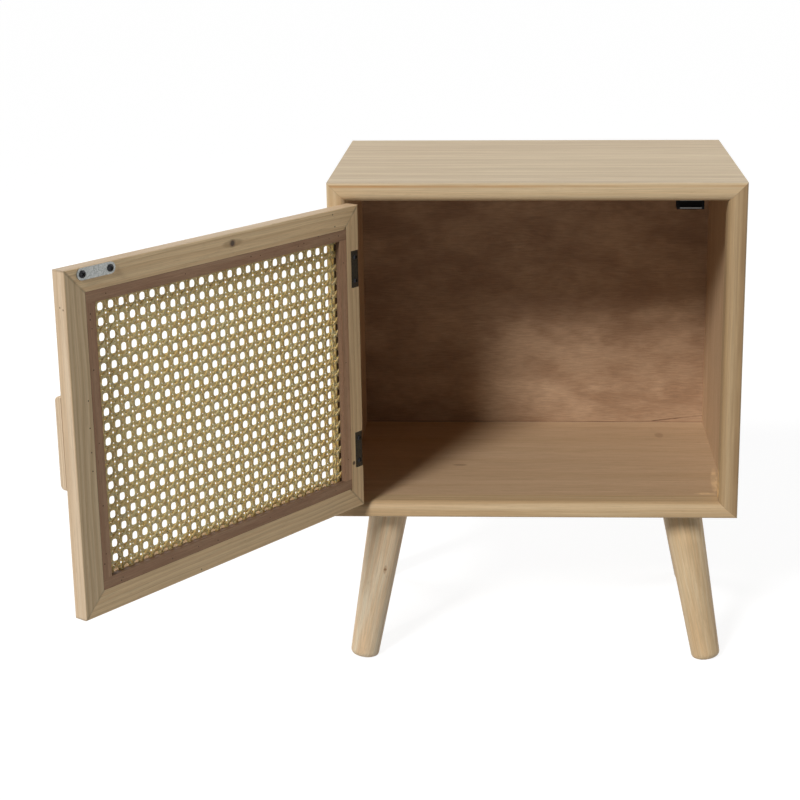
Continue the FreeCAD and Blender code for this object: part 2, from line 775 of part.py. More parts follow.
def make_pull_brads():
    brad = cylinder("pull_brad", "pull_brad_radius", "pull_brad_length")
    low = "(door_height - pull_height) / 2 + pull_rise"
    x = "free_edge - pull_brad_inset"
    spots = [(x, "door_back", f"{low} + pull_height * {share}") for share in PULL_BRAD_SHARES]
    return copies("pull_brads", brad, spots, POINTING["-Y"])


def make_strike():
    head = ("strike_screw_head_radius", "strike_screw_head_height")
    screw = pan_head_screw("strike_screw", "strike_screw_radius", *head, "strike_screw_length")
    middle = "free_edge - strike_inset"
    level = "door_height - strike_drop"
    surface = "door_back + strike_thickness"
    spots = [(f"{middle} + {i} * strike_screw_spacing / 2", surface, level) for i in (-1, 1)]
    screws = copies("strike_plate_screws", screw, spots, POINTING["-Y"])
    straight = "strike_length - strike_height"
    low = (f"{middle} - ({straight}) / 2", "door_back", f"{level} - strike_height / 2")
    pieces = [box("strike_middle", low, (straight, "strike_thickness", "strike_height"))]
    for i, name in ((-1, "strike_hinge_end"), (1, "strike_free_end")):
        at = (f"{middle} + {i} * ({straight}) / 2", surface, level)
        pieces.append(cylinder(name, "strike_height / 2", "strike_thickness", at, POINTING["-Y"]))
    door_node("strike_plate", cut("strike_plate", fuse("strike_blank", pieces), [screws]))
    return screws


def make_door_leaves():
    """The hinge leaves that wrap round the hinge stile onto its back, their screws, and the mortises."""
    head = ("hinge_screw_head_radius", "hinge_screw_head_height")
    screw = pan_head_screw("door_hinge_screw", "hinge_screw_radius", *head, "hinge_screw_length")
    spots = []
    mortises = []
    lows = {"upper": "upper_hinge_low", "lower": "lower_hinge_low"}
    for low in lows.values():
        for i in (-1, 1):
            level = f"{low} + (hinge_height + {i} * hinge_screw_spacing) / 2"
            spots.append(("hinge_edge + door_leaf_flange / 2", "door_back", level))
    screws = copies("door_hinge_screws", screw, spots, POINTING["-Y"])

    for which, low in lows.items():
        name = f"{which}_hinge_door_leaf"
        bent = new_body(f"{which}_bent_leaf")
        back = "door_back"
        inner = f"{back} - leaf_thickness"
        strip = "hinge_edge + leaf_thickness"
        tip = "hinge_edge + door_leaf_flange"
        edge = [("hinge_edge", back), ("hinge_edge", "0"), (strip, "0")]
        flange = [(strip, inner), (tip, inner), (tip, back)]
        plan = outline(bent, f"{which}_leaf_plan", "XY_Plane", edge + flange)
        pad(bent, f"{which}_leaf_pad", plan, "hinge_height")
        round_edges(bent, f"{which}_leaf_bend", "leaf_bend_round", {"x": "hinge_edge", "y": back})
        tips = [{"x": tip, "z": end} for end in ("0", "hinge_height")]
        round_edges(bent, f"{which}_leaf_corners", "leaf_corner_round", *tips)
        place(bent, z=low)
        third = f"hinge_height * {KNUCKLE_SHARE}"
        barrel = cylinder(f"{which}_door_barrel", "knuckle_radius", "hinge_height", ("0", "0", low))
        room_low = ("0", "0", f"{low} + {third} - knuckle_clearance / 2")
        room_height = f"{third} + knuckle_clearance"
        room = cylinder(f"{which}_door_room", "knuckle_radius + knuckle_clearance", room_height, room_low)
        bore_radius = "pin_radius + pin_running_clearance"
        bore_low = ("0", "0", f"{low} - overrun")
        bore = cylinder(f"{which}_door_bore", bore_radius, "hinge_height + 2 * overrun", bore_low)
        blank = fuse(f"{which}_leaf_blank", [bent, barrel])
        relieved = cut(f"{which}_relieved_leaf", blank, [fuse(f"{which}_room_and_bore", [room, bore])])
        door_node(name, cut(name, relieved, [screws]))

        edge_low = ("hinge_edge - overrun", "door_face - overrun", low)
        edge_size = ("leaf_thickness + overrun", "door_thickness + overrun", "hinge_height")
        flange_low = ("hinge_edge - overrun", inner, low)
        flange_size = ("door_leaf_flange + overrun", "leaf_thickness + overrun", "hinge_height")
        pieces = [
            box(f"{which}_edge_mortise", edge_low, edge_size),
            box(f"{which}_flange_mortise", flange_low, flange_size),
        ]
        mortises.append(fuse(f"{which}_door_mortise", pieces))
    return screws, mortises


def make_door_frame(bead_brads, corner_brads, pull_brads, strike_screws, hinge_screws, mortises):
    fixings = {
        "bottom": [bead_brads, corner_brads],
        "right": [bead_brads, corner_brads, pull_brads],
        "top": [bead_brads, corner_brads, strike_screws],
        "left": [bead_brads, corner_brads, hinge_screws, *mortises],
    }
    names = {
        "bottom": "door_bottom_rail",
        "right": "door_free_stile",
        "top": "door_top_rail",
        "left": "door_hinge_stile",
    }
    widths = ("frame_width", "frame_width", "frame_width", "hinge_stile_width")
    outer = ("door_width", "door_height", "door_thickness")
    boards = frame_of_boards("hinge_edge", "door_face", "0", *outer, widths)
    for side, width, make in boards:
        name = names[side]
        board = make(name)
        ledge = "hinge_ledge" if side == "left" else "0"
        rebate(board, name, "door_thickness", width, "rebate_depth", f"bead_width + {ledge}")
        if side == "left":
            round_edges(board, name + "_front_round", "hinge_edge_round", {"y": "0", "z": "0"})
        else:
            round_edges(board, name + "_front_break", "edge_break", {"y": "0", "z": "0"})
        round_edges(board, name + "_back_break", "edge_break", {"y": "door_thickness", "z": "0"})
        door_node(name, cut(name, board, fixings[side]))


def make_cabinet():
    brads = make_back_brads()
    make_back_panel(brads)
    bolts = make_hanger_bolts()
    plate_screws = make_plate_screws()
    make_legs(bolts, plate_screws)
    catch_screws = make_catch()
    hinge_screws, mortises = make_case_leaves()
    make_panels(brads, plate_screws, catch_screws)
    make_lippings(hinge_screws, mortises)


def make_door():
    bead_brads = make_bead_brads()
    corner_brads = make_corner_brads()
    pull_brads = make_pull_brads()
    make_beads(bead_brads)
    make_cane_panel()
    make_pull(pull_brads)
    strike_screws = make_strike()
    hinge_screws, mortises = make_door_leaves()
    make_door_frame(bead_brads, corner_brads, pull_brads, strike_screws, hinge_screws, mortises)
    groups = (bead_brads, corner_brads, pull_brads, strike_screws, hinge_screws)
    for group in groups:
        door_node(group.Name, compound(group.Name + "_hung", [group]))


def check():
    for thing in doc.Objects:
        if "Invalid" in thing.State or "Error" in thing.State:
            raise RuntimeError(f"{thing.Name} did not build: {thing.State}")
    for label, thing in nodes.items():
        if thing.Shape.isNull() or not thing.Shape.isValid() or not thing.Shape.Solids:
            raise RuntimeError(f"{label} has no sound solid")


def write():
    os.makedirs("parts", exist_ok=True)
    for label, thing in nodes.items():
        thing.Shape.exportStep(f"parts/{label}.step")


fill_sheet()
make_cabinet()
make_door()
doc.recompute()
check()
write()
print(len(nodes), "nodes,", sum(len(thing.Shape.Solids) for thing in nodes.values()), "solids")
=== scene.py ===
"""Looks of the storage side table with door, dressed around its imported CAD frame."""

import json
import math
import random

import bpy
from mathutils import Matrix, Vector


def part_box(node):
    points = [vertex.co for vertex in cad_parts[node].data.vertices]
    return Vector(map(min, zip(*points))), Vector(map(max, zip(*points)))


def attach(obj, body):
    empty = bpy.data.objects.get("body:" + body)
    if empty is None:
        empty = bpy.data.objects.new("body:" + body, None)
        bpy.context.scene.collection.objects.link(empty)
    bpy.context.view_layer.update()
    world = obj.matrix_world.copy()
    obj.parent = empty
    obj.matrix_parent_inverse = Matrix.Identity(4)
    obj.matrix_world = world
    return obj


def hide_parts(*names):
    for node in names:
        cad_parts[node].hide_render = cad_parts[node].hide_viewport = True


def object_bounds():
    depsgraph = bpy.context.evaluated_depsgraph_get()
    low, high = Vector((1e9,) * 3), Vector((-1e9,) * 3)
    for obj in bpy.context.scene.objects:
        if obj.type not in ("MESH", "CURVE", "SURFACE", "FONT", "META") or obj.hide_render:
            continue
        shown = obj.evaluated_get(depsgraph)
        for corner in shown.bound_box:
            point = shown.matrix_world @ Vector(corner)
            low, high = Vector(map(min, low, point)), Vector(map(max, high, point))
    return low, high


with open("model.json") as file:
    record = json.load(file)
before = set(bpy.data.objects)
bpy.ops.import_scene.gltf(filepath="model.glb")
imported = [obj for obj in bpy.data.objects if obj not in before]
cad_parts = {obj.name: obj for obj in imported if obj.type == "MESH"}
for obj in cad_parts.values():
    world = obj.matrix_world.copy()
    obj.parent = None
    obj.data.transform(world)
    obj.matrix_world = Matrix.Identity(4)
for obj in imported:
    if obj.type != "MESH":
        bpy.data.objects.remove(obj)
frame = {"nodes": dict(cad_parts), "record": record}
cad_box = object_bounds()

MM = 0.001

# Camera, as fitted to the photograph
PICTURE_SIDE = 800
FOCAL_PIXELS = 1827.0
MIDDLE_PIXEL = (463, 375)
SENSOR_WIDTH = 36.0
CAMERA_PLACE = Vector((-0.01163, -1.85466, 0.78653))
CAMERA_PITCH = math.radians(15.574)
CAMERA_YAW = math.radians(1.986)
CAMERA_ROLL = math.radians(-0.418)
CLIP_START = 0.05
CLIP_END = 200

# Studio light: a soft key from the front left, a panel overhead, one behind on each side, and a dim room.
# A panel is given by its azimuth, height, distance, side and power.
KEY_AZIMUTH = math.radians(-28)
KEY_HEIGHT = math.radians(33.5)
KEY_DISTANCE = 3.0
KEY_SPREAD = math.radians(15)
KEY_STRENGTH = 2.65
PANELS = {
    "overhead": (0.0, math.pi / 2, 1.9, 1.6, 2.55),
    "fill": (math.radians(112), math.radians(20), 2.4, 1.4, 15.5),
    "rear": (math.radians(-125), math.radians(18), 2.4, 1.4, 26.0),
}
ROOM_STRENGTH = 0.022
FLOOR_SIDE = 60.0
FLOOR_PAINT = 0.5
FLOOR_PAINT_SEEN = 0.26
FLOOR_GLOW_SEEN = 0.87

# The door's own frame: +X from the hinge pin along the door, +Y towards its back, +Z up from its lower edge
hinge = frame["record"]["behaviour"]["joints"][0]
DOOR_ANGLE = math.radians(-hinge["range_deg"][0])
DOOR_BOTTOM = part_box("door_bottom_rail")[0][2]
PIN = Vector((hinge["pos_m"][0], hinge["pos_m"][1], DOOR_BOTTOM))
DOOR_TURN = Matrix.Rotation(-DOOR_ANGLE, 4, "Z")
DOOR = Matrix.Translation(PIN) @ DOOR_TURN

# Grain frames as columns: along the grain, across the face, square to the face
GRAIN_X_UP = Matrix.Identity(3)
GRAIN_X_FRONT = Matrix(((1, 0, 0), (0, 0, -1), (0, 1, 0)))
GRAIN_Z_FRONT = Matrix(((0, 1, 0), (0, 0, 1), (1, 0, 0)))
GRAIN_Z_SIDE = Matrix(((0, 0, -1), (0, 1, 0), (1, 0, 0)))

# The same frames turned with the door, and its directions along its width and to its back
DOOR_AXES = DOOR_TURN.to_3x3()
DOOR_LEVEL = DOOR_AXES @ GRAIN_X_FRONT
DOOR_ERECT = DOOR_AXES @ GRAIN_Z_FRONT
DOOR_SIDE = DOOR_AXES @ GRAIN_Z_SIDE
DOOR_ALONG = DOOR_AXES @ Vector((1, 0, 0))
DOOR_BACK = DOOR_AXES @ Vector((0, 1, 0))


def box_of(points):
    """The lowest and highest corner of some points."""
    low = Vector([min(p[i] for p in points) for i in range(3)])
    high = Vector([max(p[i] for p in points) for i in range(3)])
    return low, high


def door_spot(x, y, z):
    """A place that is given in the door's own frame."""
    return DOOR @ Vector((x, y, z))


def door_box(name):
    """The lowest and highest corner of a door node in the door's own frame."""
    back = DOOR.inverted()
    return box_of([back @ v.co for v in frame["nodes"][name].data.vertices])


def door_edges():
    """The outer and inner edges of the door's frame and the level of its back, in the door's own frame."""
    hinge_low, hinge_high = door_box("door_hinge_stile")
    free_low, free_high = door_box("door_free_stile")
    top_low, top_high = door_box("door_top_rail")
    bottom_low, bottom_high = door_box("door_bottom_rail")
    outer = {"left": hinge_low.x, "right": free_high.x, "bottom": bottom_low.z, "top": top_high.z}
    inner = {"left": hinge_high.x, "right": free_low.x, "bottom": bottom_high.z, "top": top_low.z}
    return outer, inner, hinge_high.y


DOOR_OUTER, DOOR_INNER, DOOR_FACE = door_edges()


def tone(red, green, blue):
    """A colour given in screen values, as the linear values that shaders take."""

    def linear(channel):
        share = channel / 255
        return share / 12.92 if share <= 0.04045 else ((share + 0.055) / 1.055) ** 2.4

    return (linear(red), linear(green), linear(blue), 1.0)


# Woods. Lengths are in metres: a feature's size along the grain, then across it.
# The sway is how far the grain wanders.
VENEER = dict(
    light=tone(221, 202, 170),
    dark=tone(194, 171, 138),
    band=tone(199, 174, 143),
    pore=tone(158, 132, 100),
    ring=0.011,
    ring_share=0.4,
    band_share=0.75,
    band_size=(0.9, 0.008),
    fibre_size=(0.10, 0.0012),
    fibre_share=0.12,
    pore_size=(0.012, 0.0005),
    pore_share=0.2,
    sway=0.008,
    roughness=0.52,
    bump=0.10,
)
PINE = dict(
    light=tone(211, 187, 150),
    dark=tone(185, 154, 113),
    band=tone(201, 169, 128),
    pore=tone(146, 114, 78),
    ring=0.0046,
    ring_share=0.5,
    band_share=0.6,
    band_size=(0.35, 0.005),
    fibre_size=(0.06, 0.0009),
    fibre_share=0.12,
    pore_size=(0.009, 0.0005),
    pore_share=0.22,
    sway=0.005,
    roughness=0.5,
    bump=0.12,
)
RIGHT_PINE = dict(PINE, light=tone(184, 157, 120), dark=tone(160, 131, 94), band=tone(170, 140, 101))
LOW_PINE = dict(PINE, light=tone(202, 176, 138), dark=tone(174, 142, 101), band=tone(190, 156, 114))
LEG_PINE = dict(
    PINE,
    light=tone(210, 187, 151),
    dark=tone(191, 159, 116),
    band=tone(196, 160, 116),
    ring=0.009,
    ring_share=0.3,
    band_size=(0.3, 0.0045),
    fibre_size=(0.09, 0.0013),
    sway=0.004,
)
# A paler copy of the leg pine for the front left leg: painted light that makes up for the door's shadow on
# it
LEG_PINE_WITH_PAINTED_LIGHT = dict(
    LEG_PINE,
    light=tone(240, 222, 192),
    dark=tone(224, 192, 150),
    band=tone(229, 193, 150),
    ring_share=0.4,
    band_share=0.75,
)
DOOR_PINE = dict(
    PINE,
    light=tone(226, 202, 163),
    dark=tone(192, 160, 118),
    band=tone(210, 179, 138),
    pore=tone(140, 110, 76),
    ring=0.0021,
    ring_share=0.6,
    band_share=0.5,
    band_size=(0.4, 0.0032),
)
# A paler copy of the door pine for the rails and the hinge stile: painted light that makes up for the
# dimmer light on the back of the door
DOOR_PINE_WITH_PAINTED_LIGHT = dict(
    DOOR_PINE, light=tone(245, 217, 172), dark=tone(214, 177, 130), band=tone(230, 195, 148)
)
EDGE_PINE = dict(
    PINE,
    light=tone(226, 203, 173),
    dark=tone(200, 167, 127),
    band=tone(207, 176, 139),
    ring=0.0028,
)
INNER_VENEER = dict(
    VENEER,
    light=tone(199, 169, 135),
    dark=tone(181, 150, 116),
    band=tone(183, 151, 114),
    pore=tone(126, 96, 70),
    ring=0.02,
    ring_share=0.3,
    band_share=0.5,
    band_size=(0.5, 0.012),
    fibre_size=(0.05, 0.0010),
    pore_size=(0.008, 0.0006),
    sway=0.012,
    roughness=0.55,
)
LAUAN = dict(
    light=tone(184, 152, 121),
    dark=tone(146, 115, 87),
    band=tone(146, 113, 85),
    pore=tone(96, 66, 48),
    ring=0.05,
    ring_share=0.4,
    band_share=0.85,
    band_size=(0.075, 0.045),
    fibre_size=(0.012, 0.0012),
    fibre_share=0.16,
    pore_size=(0.006, 0.0006),
    pore_share=0.22,
    sway=0.03,
    roughness=0.6,
    bump=0.16,
)
BEAD_WOOD = dict(
    light=tone(176, 142, 112),
    dark=tone(147, 112, 85),
    band=tone(156, 117, 90),
    pore=tone(96, 66, 50),
    ring=0.006,
    ring_share=0.45,
    band_share=0.7,
    band_size=(0.08, 0.006),
    fibre_size=(0.025, 0.0008),
    fibre_share=0.16,
    pore_size=(0.006, 0.0005),
    pore_share=0.4,
    sway=0.008,
    roughness=0.62,
    bump=0.16,
)
PALE_BEAD_WOOD = dict(
    BEAD_WOOD, light=tone(206, 168, 134), dark=tone(178, 138, 107), band=tone(188, 144, 112)
)
NAIL_HOLE = tone(66, 46, 36)

# Grain that all woods share. A layer is the detail and roughness of a noise, and the span of it that shows.
SWAY_SIZE = (0.25, 0.03, 0.03)
PITH_STRETCH = (0.02, 1, 1)
RING_STOPS = ((0, 0.0), (0.35, 0.15), (0.8, 1.0), (0.95, 0.6), (1, 0.0))
BAND_LAYER = (3.0, 0.6, (0.35, 0.68))
FIBRE_LAYER = (4.0, 0.65, (0.3, 0.7))
PORE_LAYER = (1.0, 0.5, (0.62, 0.74))
PALE_FIBRE_SHARE = 0.6
HOLLOW_ROUGHNESS = 0.08
RAISED_SMOOTHNESS = 0.06
WOOD_SHINE = 0.32

# Places of the pith beside a board, across its grain
VENEER_PITH = (0.11, -0.16)
INNER_PITH = (0.05, 0.08)
FLOOR_PITH = (0.09, -0.1)
BACK_PITH = (0.14, -0.25)
BEAD_PITH = (0.03, -0.05)

# Marks on the wood. Shares are the lowest and highest of a patchy mark.
JOINT_WIDTH = 0.35 * MM
JOINT_SHADE = (0.16, 0.10, 0.06, 1)
LINE_CORE = 0.3
SPOT_SPAN = (0.65, 1.2)
PATCH_SPAN = (0.35, 0.65)

# Stains on the cabinet floor: place, half size and share
STAIN = tone(112, 84, 58)
FLOOR_STAINS = (
    ((138 * MM, 86 * MM), (5 * MM, 9 * MM), 0.3),
    ((-79 * MM, -21 * MM), (8 * MM, 3 * MM), 0.5),
)

# Filler on the cabinet floor: place, half size and angle of each smear
FLOOR_FILLER = tone(228, 196, 150)
FLOOR_FILLER_PATCH = (0.006, 0.012, 1)
FLOOR_FILLER_SHARES = (0.3, 0.9)
FLOOR_SMEARS = (
    ((183.5 * MM, -72 * MM), (3.6 * MM, 42 * MM), math.radians(-4.4)),
    ((171 * MM, -110 * MM), (11 * MM, 3.5 * MM), 0.0),
)

# Filler on the right side, at a place in depth and height
SIDE_FILLER = tone(252, 212, 150)
SIDE_FILLER_PATCH = (1, 0.010, 0.006)
SIDE_FILLER_SHARES = (0.4, 1)
SIDE_FILLER_FACING = (0.2, 0.6)
SIDE_FILLER_STRENGTH = 0.9
SIDE_FILLER_PLACE = (-112 * MM, 190 * MM)
SIDE_FILLER_SIZE = (19 * MM, 20 * MM)

# The gap under the back panel, and the split in its lower edge
CRACK = tone(84, 56, 40)
GAP_WIDTH = 1.3 * MM
GAP_PATCH = (0.05, 1, 1)
GAP_SHARES = (0.15, 0.8)
SPLIT_WIDTH = 0.8 * MM
SPLIT_LEFT = 118 * MM
SPLIT_RIGHT = 190 * MM
SPLIT_RISE = 8 * MM
SPLIT_FADE = (112 * MM, 124 * MM)
SPLIT_PATCH = (0.012, 1, 1)
SPLIT_SHARES = (0.25, 0.9)

# Lippings: the share of their joints, and two streaks by how far in they start and end, width and shade
LIPPING_JOINT_SHARE = 0.28
TOP_STREAK_INSETS = (3.4 * MM, 3.0 * MM)
TOP_STREAK_LOOK = (1.7 * MM, tone(186, 138, 84))
RIGHT_STREAK_INSETS = (3.0 * MM, 2.5 * MM)
RIGHT_STREAK_LOOK = (4.5 * MM, tone(142, 114, 80))
STREAK_PATCH = (0.09, 0.02, 0.09)
STREAK_SHARES = (0.25, 0.75)

# Legs: wood and place of the pith. A knot is given by the half size, shade and share of its rings.
LEGS = {
    "front_left_leg": (LEG_PINE_WITH_PAINTED_LIGHT, (0.022, 0.03)),
    "front_right_leg": (LEG_PINE, (-0.03, 0.028)),
    "rear_left_leg": (LEG_PINE, (0.03, -0.02)),
    "rear_right_leg": (LEG_PINE, (-0.025, -0.03)),
}
LEG_TOP_SHARE = 0.2
LEG_FOOT_SHARE = 0.1
LEG_KNOT_PLACE = (-153 * MM, -118 * MM, 94.6 * MM)
LEG_KNOT_RINGS = (
    ((5 * MM, 1.6 * MM), tone(176, 128, 80), 0.5),
    ((1.3 * MM, 1.6 * MM), tone(140, 98, 58), 0.7),
)

# Marks on the door. The places of nail holes are millimetres along the door and up it.
GLUE = tone(118, 102, 84)
GLUE_WIDTH = 1.5 * MM
GLUE_PATCH = (0.01, 0.01, 0.01)
GLUE_SHARES = (0.1, 0.38)
MITRE_SHARE = 0.17
NAIL_RADIUS = 0.75 * MM
NAIL_HOLE_SHARE = 0.85
TOP_RAIL_HOLES = ((33.9, 284.5), (36.7, 296.3))
BOTTOM_RAIL_HOLES = ((226.9, 3.4),)
HINGE_STILE_HOLES = ((14.8, 46.7),)
HINGE_STILE_HOLE_RADIUS = 2.1 * MM
TOP_BEAD_HOLES = ((147.9, 275.6), (85.5, 274.5), (77.6, 275.9), (57.6, 279.1), (29.4, 275.0))
BOTTOM_BEAD_HOLES = ((321.3, 23.8), (261.3, 24.6), (204.7, 24.3))
FREE_BEAD_HOLES = ((337.2, 260.6), (337.7, 255.8), (337.4, 213.3), (336.6, 95.4), (338.8, 44.0))
RAIL_KNOT_PLACE = (170.5 * MM, 291.4 * MM)
RAIL_KNOT_RINGS = (
    ((13 * MM, 3.4 * MM), tone(146, 112, 76), 0.45),
    ((4.2 * MM, 3.8 * MM), tone(128, 98, 70), 0.6),
    ((2.6 * MM, 2.7 * MM), tone(74, 60, 50), 0.9),
)
EDGE_PLUGS = ((8.0 * MM, 269.7 * MM), (11.8 * MM, 268.2 * MM))
EDGE_PLUG_SIZE = (0.9 * MM, 0.8 * MM)
EDGE_PLUG = tone(120, 96, 74)
EDGE_PLUG_SHARE = 0.8
# Painted shade in the rebate of the hinge stile: faces that look to the back, fading out between these
# depths
REBATE_DEPTHS = (9 * MM, 12 * MM)
REBATE_SHADE = tone(78, 52, 32)
REBATE_SHADE_SHARE = 0.85
# Painted shade on the edge of each bead that looks into the opening
BEAD_EDGE_SHADE = tone(84, 62, 46)
BEAD_EDGE_SHADE_SHARE = 0.75

# Metals and plastics: light and dark tone, roughness, size of the mottle, share of metal, and shine
METALS = {
    "dark_bronze": (tone(60, 56, 44), tone(38, 34, 27), 0.42, 1.5 * MM, 0.6, 0.5),
    "zinc_steel": (tone(166, 168, 166), tone(130, 133, 131), 0.4, 1.4 * MM, 1.0, 0.5),
    "pole_steel": (tone(104, 101, 98), tone(80, 77, 75), 0.5, 1.2 * MM, 1.0, 0.5),
    "black_steel": (tone(52, 52, 54), tone(28, 28, 30), 0.26, 0.8 * MM, 0.8, 0.5),
    "sunk_brad": (tone(74, 54, 40), tone(48, 34, 26), 0.7, 0.6 * MM, 0.3, 0.5),
    "catch_plastic": (tone(24, 22, 22), tone(14, 13, 13), 0.6, 0.5 * MM, 0.0, 0.06),
    "magnet_ferrite": (tone(26, 24, 24), tone(17, 16, 16), 0.7, 0.7 * MM, 0.0, 0.04),
}
METAL_NODES = {
    "dark_bronze": (
        "upper_hinge_case_leaf", "lower_hinge_case_leaf", "upper_hinge_door_leaf",
        "lower_hinge_door_leaf", "upper_hinge_pin", "lower_hinge_pin", "case_hinge_screws",
    ),
    "zinc_steel": (
        "strike_plate", "catch_screws", "leg_plate_screws", "leg_hanger_bolts", "front_left_leg_plate",
        "front_right_leg_plate", "rear_left_leg_plate", "rear_right_leg_plate",
    ),
    "pole_steel": ("catch_pole_plates",),
    "sunk_brad": ("back_panel_brads", "bead_brads", "door_corner_brads", "pull_brads"),
    "catch_plastic": ("catch_housing",),
    "magnet_ferrite": ("catch_magnet",),
}
MOTTLE_NOISE = (5.0, 0.65)
MOTTLE_SPAN = (0.35, 0.65)
MOTTLE_BUMP = (0.05, 0.05 * MM)
DULL_ROUGHNESS = 0.12
BRIGHT_SMOOTHNESS = 0.08

# Screw heads. The edge and the recess are shares of the head's rise or radius.
SCREW_REACH = 10 * MM
SCREW_SIDES = 48
SCREW_SEED = 3
SCREW_TURN = 1.5
TIP_DEPTH = 0.1 * MM
HEAD_EDGE = 0.35
DOME_STEPS = 14
DOME_POWER = 3
RECESS_SHARE = 0.7
RECESS_ARM = 0.13
RECESS_REACH = 0.62

# Cane webbing: 25 by 18 open holes between pairs of upright and level strands, crossed by two diagonals
HOLE_COLUMNS = 25
HOLE_ROWS = 18
HOLE_STEP = (11.69 * MM, 12.91 * MM)
FIRST_HOLE_INSET = (9.9 * MM, 6.3 * MM)
UPRIGHT_HALF_GAP = 1.9 * MM
UPRIGHT_WIDTH = 2.45 * MM
LAST_PAIR_SHIFT = 2.2 * MM
LEVEL_HALF_GAP = 1.95 * MM
LEVEL_WIDTH = 2.5 * MM
DIAGONAL_WIDTH = 2.95 * MM
DIAGONAL_BOW = 0.35 * MM
DIAGONAL_DROP = 0.15 * MM
DIAGONAL_STEPS = 8
STRAND_THICKNESS = 0.42 * MM
STRAND_SECTION = ((-1, 0), (-0.55, 1), (0.55, 1), (1, 0), (0.55, -1), (-0.55, -1))
STRAND_SEED = 11
FEWEST_POINTS = 4
PAIR_LIFT = 0.28 * MM
DIAGONAL_LIFT = 0.5 * MM
SPARE_HOLES = 2
SPARE_DIAGONALS = 3
CANE_TUCK = 3.4 * MM
CANE_SWAY = 0.16 * MM
SWAY_SEED = 5

# The cane's material. Sizes run along a strand, across it, and from strand to strand.
CANE_PALE = tone(252, 226, 168)
CANE_GOLD = tone(246, 212, 146)
CANE_PATCH = tone(236, 197, 126)
CANE_PATCH_SIZE = (14 * MM, 3 * MM, 0.05)
CANE_PATCH_SPAN = (0.4, 0.7)
CANE_FIBRE = tone(160, 124, 70)
CANE_FIBRE_SIZE = (8 * MM, 0.16 * MM, 0.1)
CANE_FIBRE_DETAIL = 3.0
CANE_FIBRE_SPAN = (0.5, 0.75)
CANE_FIBRE_SHARE = 0.3
CANE_BUMP = (0.15, 0.1 * MM)
CANE_ROUGHNESS = 0.42
CANE_SHINE = 0.45
CANE_GLOW = 0.7
CANE_GLOW_REACH = (1.0, 0.9, 0.6)
CANE_GLOW_DEPTH = 1.2 * MM


def add_object(name, data):
    made = bpy.data.objects.new(name, data)
    bpy.context.collection.objects.link(made)
    return made


class Shader:
    """A tree of shader nodes, with short ways to add nodes to it and join them."""

    def __init__(self, tree):
        self.tree = tree

    def node(self, kind, sockets=None, **settings):
        """A new node, with some of its sockets joined or set by their names."""
        made = self.tree.nodes.new("ShaderNode" + kind)
        for key, setting in settings.items():
            setattr(made, key, setting)
        for name, value in (sockets or {}).items():
            self.feed(value, made.inputs[name])
        return made

    def join(self, source, target):
        self.tree.links.new(source, target)

    def feed(self, value, socket):
        """Joins an output to a socket, or sets a plain number or colour on it."""
        if isinstance(value, bpy.types.NodeSocket):
            self.join(value, socket)
        else:
            socket.default_value = value

    def math(self, operation, *values):
        made = self.node("Math", operation=operation)
        for value, socket in zip(values, made.inputs):
            self.feed(value, socket)
        return made.outputs[0]


class Look(Shader):
    """A material in the making, with short ways to lay colours and marks on it."""

    def __init__(self, name):
        self.material = bpy.data.materials.new(name)
        self.material.use_nodes = True
        super().__init__(self.material.node_tree)
        self.surface = self.tree.nodes["Principled BSDF"]

    def set(self, name, value):
        """Joins an output to a socket of the surface, or sets a plain number or colour on it."""
        self.feed(value, self.surface.inputs[name])

    def times(self, first, second):
        return self.math("MULTIPLY", first, second)

    def vector(self, operation, *values):
        made = self.node("VectorMath", operation=operation)
        for value, socket in zip(values, made.inputs):
            self.feed(value, socket)
        return made.outputs["Value"] if operation in ("LENGTH", "DOT_PRODUCT") else made.outputs["Vector"]

    def scaled(self, point, size):
        """The point counted in features of this size along each axis."""
        steps = tuple(1 / length for length in size)
        return self.node("Mapping", {"Scale": steps, "Vector": point}).outputs["Vector"]

    def noise(self, point, size, detail=2.0, roughness=0.5):
        point = self.scaled(point, size)
        sockets = {"Scale": 1.0, "Detail": detail, "Roughness": roughness, "Vector": point}
        return self.node("TexNoise", sockets)

    def ramp(self, value, *stops):
        """Maps 0 to 1 through greys at the given places."""
        made = self.node("ValToRGB", {"Fac": value})
        points = made.color_ramp.elements
        while len(points) < len(stops):
            points.new(1.0)
        for point, (place, grey) in zip(points, stops):
            point.position = place
            point.color = (grey, grey, grey, 1.0)
        return made.outputs["Color"]

    def span(self, value, low, high):
        """0 below low, 1 above high, and a smooth step between."""
        sockets = {"From Min": low, "From Max": high, "Value": value}
        return self.node("MapRange", sockets, interpolation_type="SMOOTHSTEP").outputs["Result"]

    def stretch(self, value, low, high):
        """0 to 1 laid evenly over low to high."""
        return self.node("MapRange", {"To Min": low, "To Max": high, "Value": value}).outputs["Result"]

    def brighten(self, colour, factor):
        sockets = {"Vector": colour, "Scale": factor}
        return self.node("VectorMath", sockets, operation="SCALE").outputs["Vector"]

    def mix(self, share, first, second):
        """Two colours mixed. The numbers are the sockets that a Mix node uses for colours."""
        made = self.node("Mix", data_type="RGBA")
        self.feed(share, made.inputs[0])
        self.feed(first, made.inputs[6])
        self.feed(second, made.inputs[7])
        return made.outputs[2]

    def place(self):
        """Where a point lies on the piece, which travels with it."""
        return self.node("TexCoord").outputs["Object"]

    def facing(self, direction, low=0.6, high=0.8):
        """1 where the surface looks in a direction of the piece's own frame, 0 where it looks away."""
        normal = self.node("TexCoord").outputs["Normal"]
        return self.span(self.vector("DOT_PRODUCT", normal, direction), low, high)

    def bump(self, height, strength, distance=0.3 * MM):
        made = self.node("Bump", {"Strength": strength, "Distance": distance, "Height": height})
        self.set("Normal", made.outputs["Normal"])


